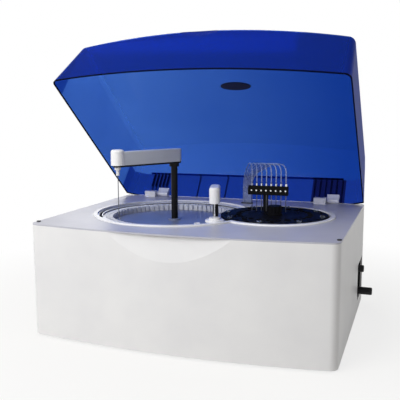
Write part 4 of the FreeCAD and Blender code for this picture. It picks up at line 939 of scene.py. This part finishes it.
@dataclass
class Analyser:
    """The whole dressed analyser.

    Attributes:
        nodes: The frame's nodes by name.
        paints: The materials.
    """

    nodes: dict
    paints: Paintbox = field(default_factory=Paintbox)

    def dress_nodes(self) -> None:
        """Gives every carried-over node its finish."""
        for name, finish in NODE_FINISH.items():
            self.paints.dress(self.nodes[name], finish)
            LOG.info("%s: %s", name, finish.name)

    def add_cuvette_lips(self) -> None:
        """Adds the pale lips of the cuvettes on the ring."""
        lip = frame_mesh("cuvette_lip_seed", LIP_OUTER, LIP_INNER, LIP_TALL)
        pattern = CirclePattern(
            name="cuvette_lips",
            body="ring",
            slot="cup_clear",
            centre=RING_CENTRE,
            radius_mm=CUVETTE_RADIUS,
            count=CUVETTE_COUNT,
            first_deg=CUVETTE_FIRST_DEG,
            height_mm=LIP_FOOT_Z,
            finish=RING_PALE,
        )
        pattern.build(lip, self.paints)

    def add_disc_bushes(self) -> None:
        """Adds the raised black bushes round the disc's inner holes."""
        bush = ring_mesh("disc_bush_seed", BUSH_OUTLINE, BUSH_SIDES)
        pattern = CirclePattern(
            name="disc_bushes",
            body="disc",
            slot="disc_black",
            centre=DISC_CENTRE,
            radius_mm=INNER_HOLE_RADIUS,
            count=INNER_HOLE_COUNT,
            first_deg=INNER_HOLE_FIRST_DEG,
            height_mm=BUSH_FOOT_Z,
            finish=DISC_BLACK,
        )
        pattern.build(bush, self.paints)

    def add_plate_screws(self) -> None:
        """Adds the socket screws round the fixed plate inside the ring."""
        screw = ring_mesh("plate_screw_seed", SCREW_OUTLINE, SCREW_SIDES)
        pattern = CirclePattern(
            name="plate_screws",
            body="base",
            slot="steel",
            centre=RING_CENTRE,
            radius_mm=PLATE_SCREW_RADIUS,
            count=PLATE_SCREW_COUNT,
            first_deg=PLATE_SCREW_FIRST_DEG,
            height_mm=SCREW_FOOT_Z,
            finish=STEEL,
        )
        pattern.build(screw, self.paints)


class Studio:
    """Plain pale floor, soft light and the camera of the photograph.

    Attributes:
        eye: Camera's place in millimetres.
        yaw: Its turn to the left, in radians.
        pitch: Its tilt downwards, in radians.
        roll: Its roll, in radians.
        focal_px: Focal length in pixels of the photograph.
        frame_px: Width of the photograph in pixels.
        sensor_mm: Width of the sensor.
        ambient: Light of the room on the object.
        ceiling: Light of the room's upper part, as glossy and clear things show it.
        floor_half: Half the floor's side in metres.
        floor_glow: Whiteness of the floor below the object, as the camera sees it.
        lamps: Name, place in metres, side in metres and watts of each lamp.
        aim: Place in metres that the lamps look at.
    """

    eye = (578.0, -1833.2, 641.1)
    yaw = 0.33816
    pitch = 0.14340
    roll = -0.00514
    focal_px = 628.06
    frame_px = 400.0
    sensor_mm = 36.0
    ambient = 0.24
    ceiling = 0.16
    floor_half = 12.0
    floor_glow = 0.78
    lamps = (
        ("key", (-1.5, -2.7, 2.2), 2.4, 81.0),
        ("top", (0.0, -1.1, 3.1), 1.8, 26.0),
        ("back", (-1.2, 2.8, 2.0), 2.0, 24.0),
    )
    aim = (0.0, 0.0, 0.35)

    def build(self) -> None:
        """Sets up everything round the object."""
        self.add_camera()
        self.add_world()
        self.add_floor()
        for name, spot, size, power in self.lamps:
            self.add_light(name, spot, size, power)

    def add_camera(self) -> None:
        """Places the camera by the fit of the photograph."""
        ahead = Vector(
            (
                -math.sin(self.yaw) * math.cos(self.pitch),
                math.cos(self.yaw) * math.cos(self.pitch),
                -math.sin(self.pitch),
            )
        )
        right = ahead.cross(Vector((0, 0, 1))).normalized()
        up = right.cross(ahead)
        cosine, sine = math.cos(self.roll), math.sin(self.roll)
        right, up = cosine * right + sine * up, -sine * right + cosine * up
        data = bpy.data.cameras.new("camera")
        data.sensor_width = self.sensor_mm
        data.lens = self.focal_px / self.frame_px * data.sensor_width
        camera = bpy.data.objects.new("camera", data)
        turn = Matrix((right, up, -ahead)).transposed().to_4x4()
        camera.matrix_world = Matrix.Translation(Vector(self.eye) * MM) @ turn
        bpy.context.scene.collection.objects.link(camera)
        bpy.context.scene.camera = camera

    def indirect(self, tree: bpy.types.NodeTree, path: bpy.types.Node) -> bpy.types.NodeSocket:
        """Tells rays that come off glossy or through clear things from all others.

        Args:
            tree: The node tree.
            path: Its light path node.

        Returns:
            One for such a ray, and zero for any other.
        """
        rays = {0: path.outputs["Is Glossy Ray"], 1: path.outputs["Is Transmission Ray"]}
        return add(tree, "ShaderNodeMath", rays, operation="MAXIMUM").outputs[0]

    def add_world(self) -> None:
        """Lights the room evenly and shows a white background."""
        world = bpy.data.worlds.new("studio")
        bpy.context.scene.world = world
        world.use_nodes = True
        tree = world.node_tree
        tree.nodes.clear()
        path = add(tree, "ShaderNodeLightPath")
        ray = add(tree, "ShaderNodeTexCoord")
        height = add(tree, "ShaderNodeSeparateXYZ", {0: ray.outputs["Generated"]})
        wall = add(
            tree,
            "ShaderNodeMapRange",
            {
                "Value": height.outputs[2],
                "From Min": 0.3,
                "From Max": 0.62,
                "To Min": 1.0,
                "To Max": self.ceiling,
            },
        )
        glossy = self.indirect(tree, path)
        room = add(tree, "ShaderNodeMix", {0: glossy, 2: self.ambient, 3: wall.outputs[0]})
        seen = add(tree, "ShaderNodeMix", {0: path.outputs["Is Camera Ray"], 2: room.outputs[0], 3: 1.0})
        sky = add(tree, "ShaderNodeBackground", {"Color": linear("#FFFFFF"), "Strength": seen.outputs[0]})
        out = add(tree, "ShaderNodeOutputWorld")
        tree.links.new(sky.outputs[0], out.inputs[0])

    def add_floor(self) -> None:
        """Lays a pale floor that keeps the object's shadow."""
        half = self.floor_half
        corners = [(-half, -half, 0), (half, -half, 0), (half, half, 0), (-half, half, 0)]
        floor = mesh_object("floor", corners, [(0, 1, 2, 3)])
        made = bpy.data.materials.new("pale_floor")
        made.use_nodes = True
        tree = made.node_tree
        tree.nodes.clear()
        paper = add(tree, "ShaderNodeBsdfDiffuse", {"Color": linear("#DEDBD5")})
        glow = add(tree, "ShaderNodeEmission", {"Color": linear("#FFFFFF"), "Strength": 1.0})
        path = add(tree, "ShaderNodeLightPath")
        glossy = self.indirect(tree, path)
        seen = add(
            tree,
            "ShaderNodeMath",
            {0: path.outputs["Is Camera Ray"], 1: glossy},
            operation="MAXIMUM",
        )
        spot = add(tree, "ShaderNodeTexCoord")
        away = add(tree, "ShaderNodeVectorMath", {0: spot.outputs["Object"]}, operation="LENGTH")
        fade = add(
            tree,
            "ShaderNodeMapRange",
            {
                "Value": away.outputs[1],
                "From Min": 0.5,
                "From Max": 1.3,
                "To Min": self.floor_glow,
                "To Max": 1.0,
            },
        )
        share = add(tree, "ShaderNodeMath", {0: seen.outputs[0], 1: fade.outputs[0]}, operation="MULTIPLY")
        both = add(
            tree, "ShaderNodeMixShader", {0: share.outputs[0], 1: paper.outputs[0], 2: glow.outputs[0]}
        )
        out = add(tree, "ShaderNodeOutputMaterial")
        tree.links.new(both.outputs[0], out.inputs[0])
        floor.data.materials.append(made)

    def add_light(self, name: str, spot: tuple[float, float, float], size: float, power: float) -> None:
        """Adds one soft square lamp that looks at the object.

        Args:
            name: Name of the lamp.
            spot: Its place in metres.
            size: Side of the square in metres.
            power: Watts.
        """
        data = bpy.data.lights.new(name, "AREA")
        data.size = size
        data.energy = power
        lamp = bpy.data.objects.new(name, data)
        lamp.location = spot
        ahead = Vector(self.aim) - Vector(spot)
        lamp.rotation_mode = "QUATERNION"
        lamp.rotation_quaternion = ahead.to_track_quat("-Z", "Y")
        bpy.context.scene.collection.objects.link(lamp)


def main() -> None:
    """Loads the frame, dresses it and sets up the studio."""
    logging.basicConfig(level=logging.INFO, format="%(message)s")
    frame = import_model()
    bpy.context.scene.view_settings.view_transform = "Standard"
    analyser = Analyser(frame["nodes"])
    analyser.dress_nodes()
    analyser.add_cuvette_lips()
    analyser.add_disc_bushes()
    analyser.add_plate_screws()
    Studio().build()


if __name__ == "__main__":
    main()
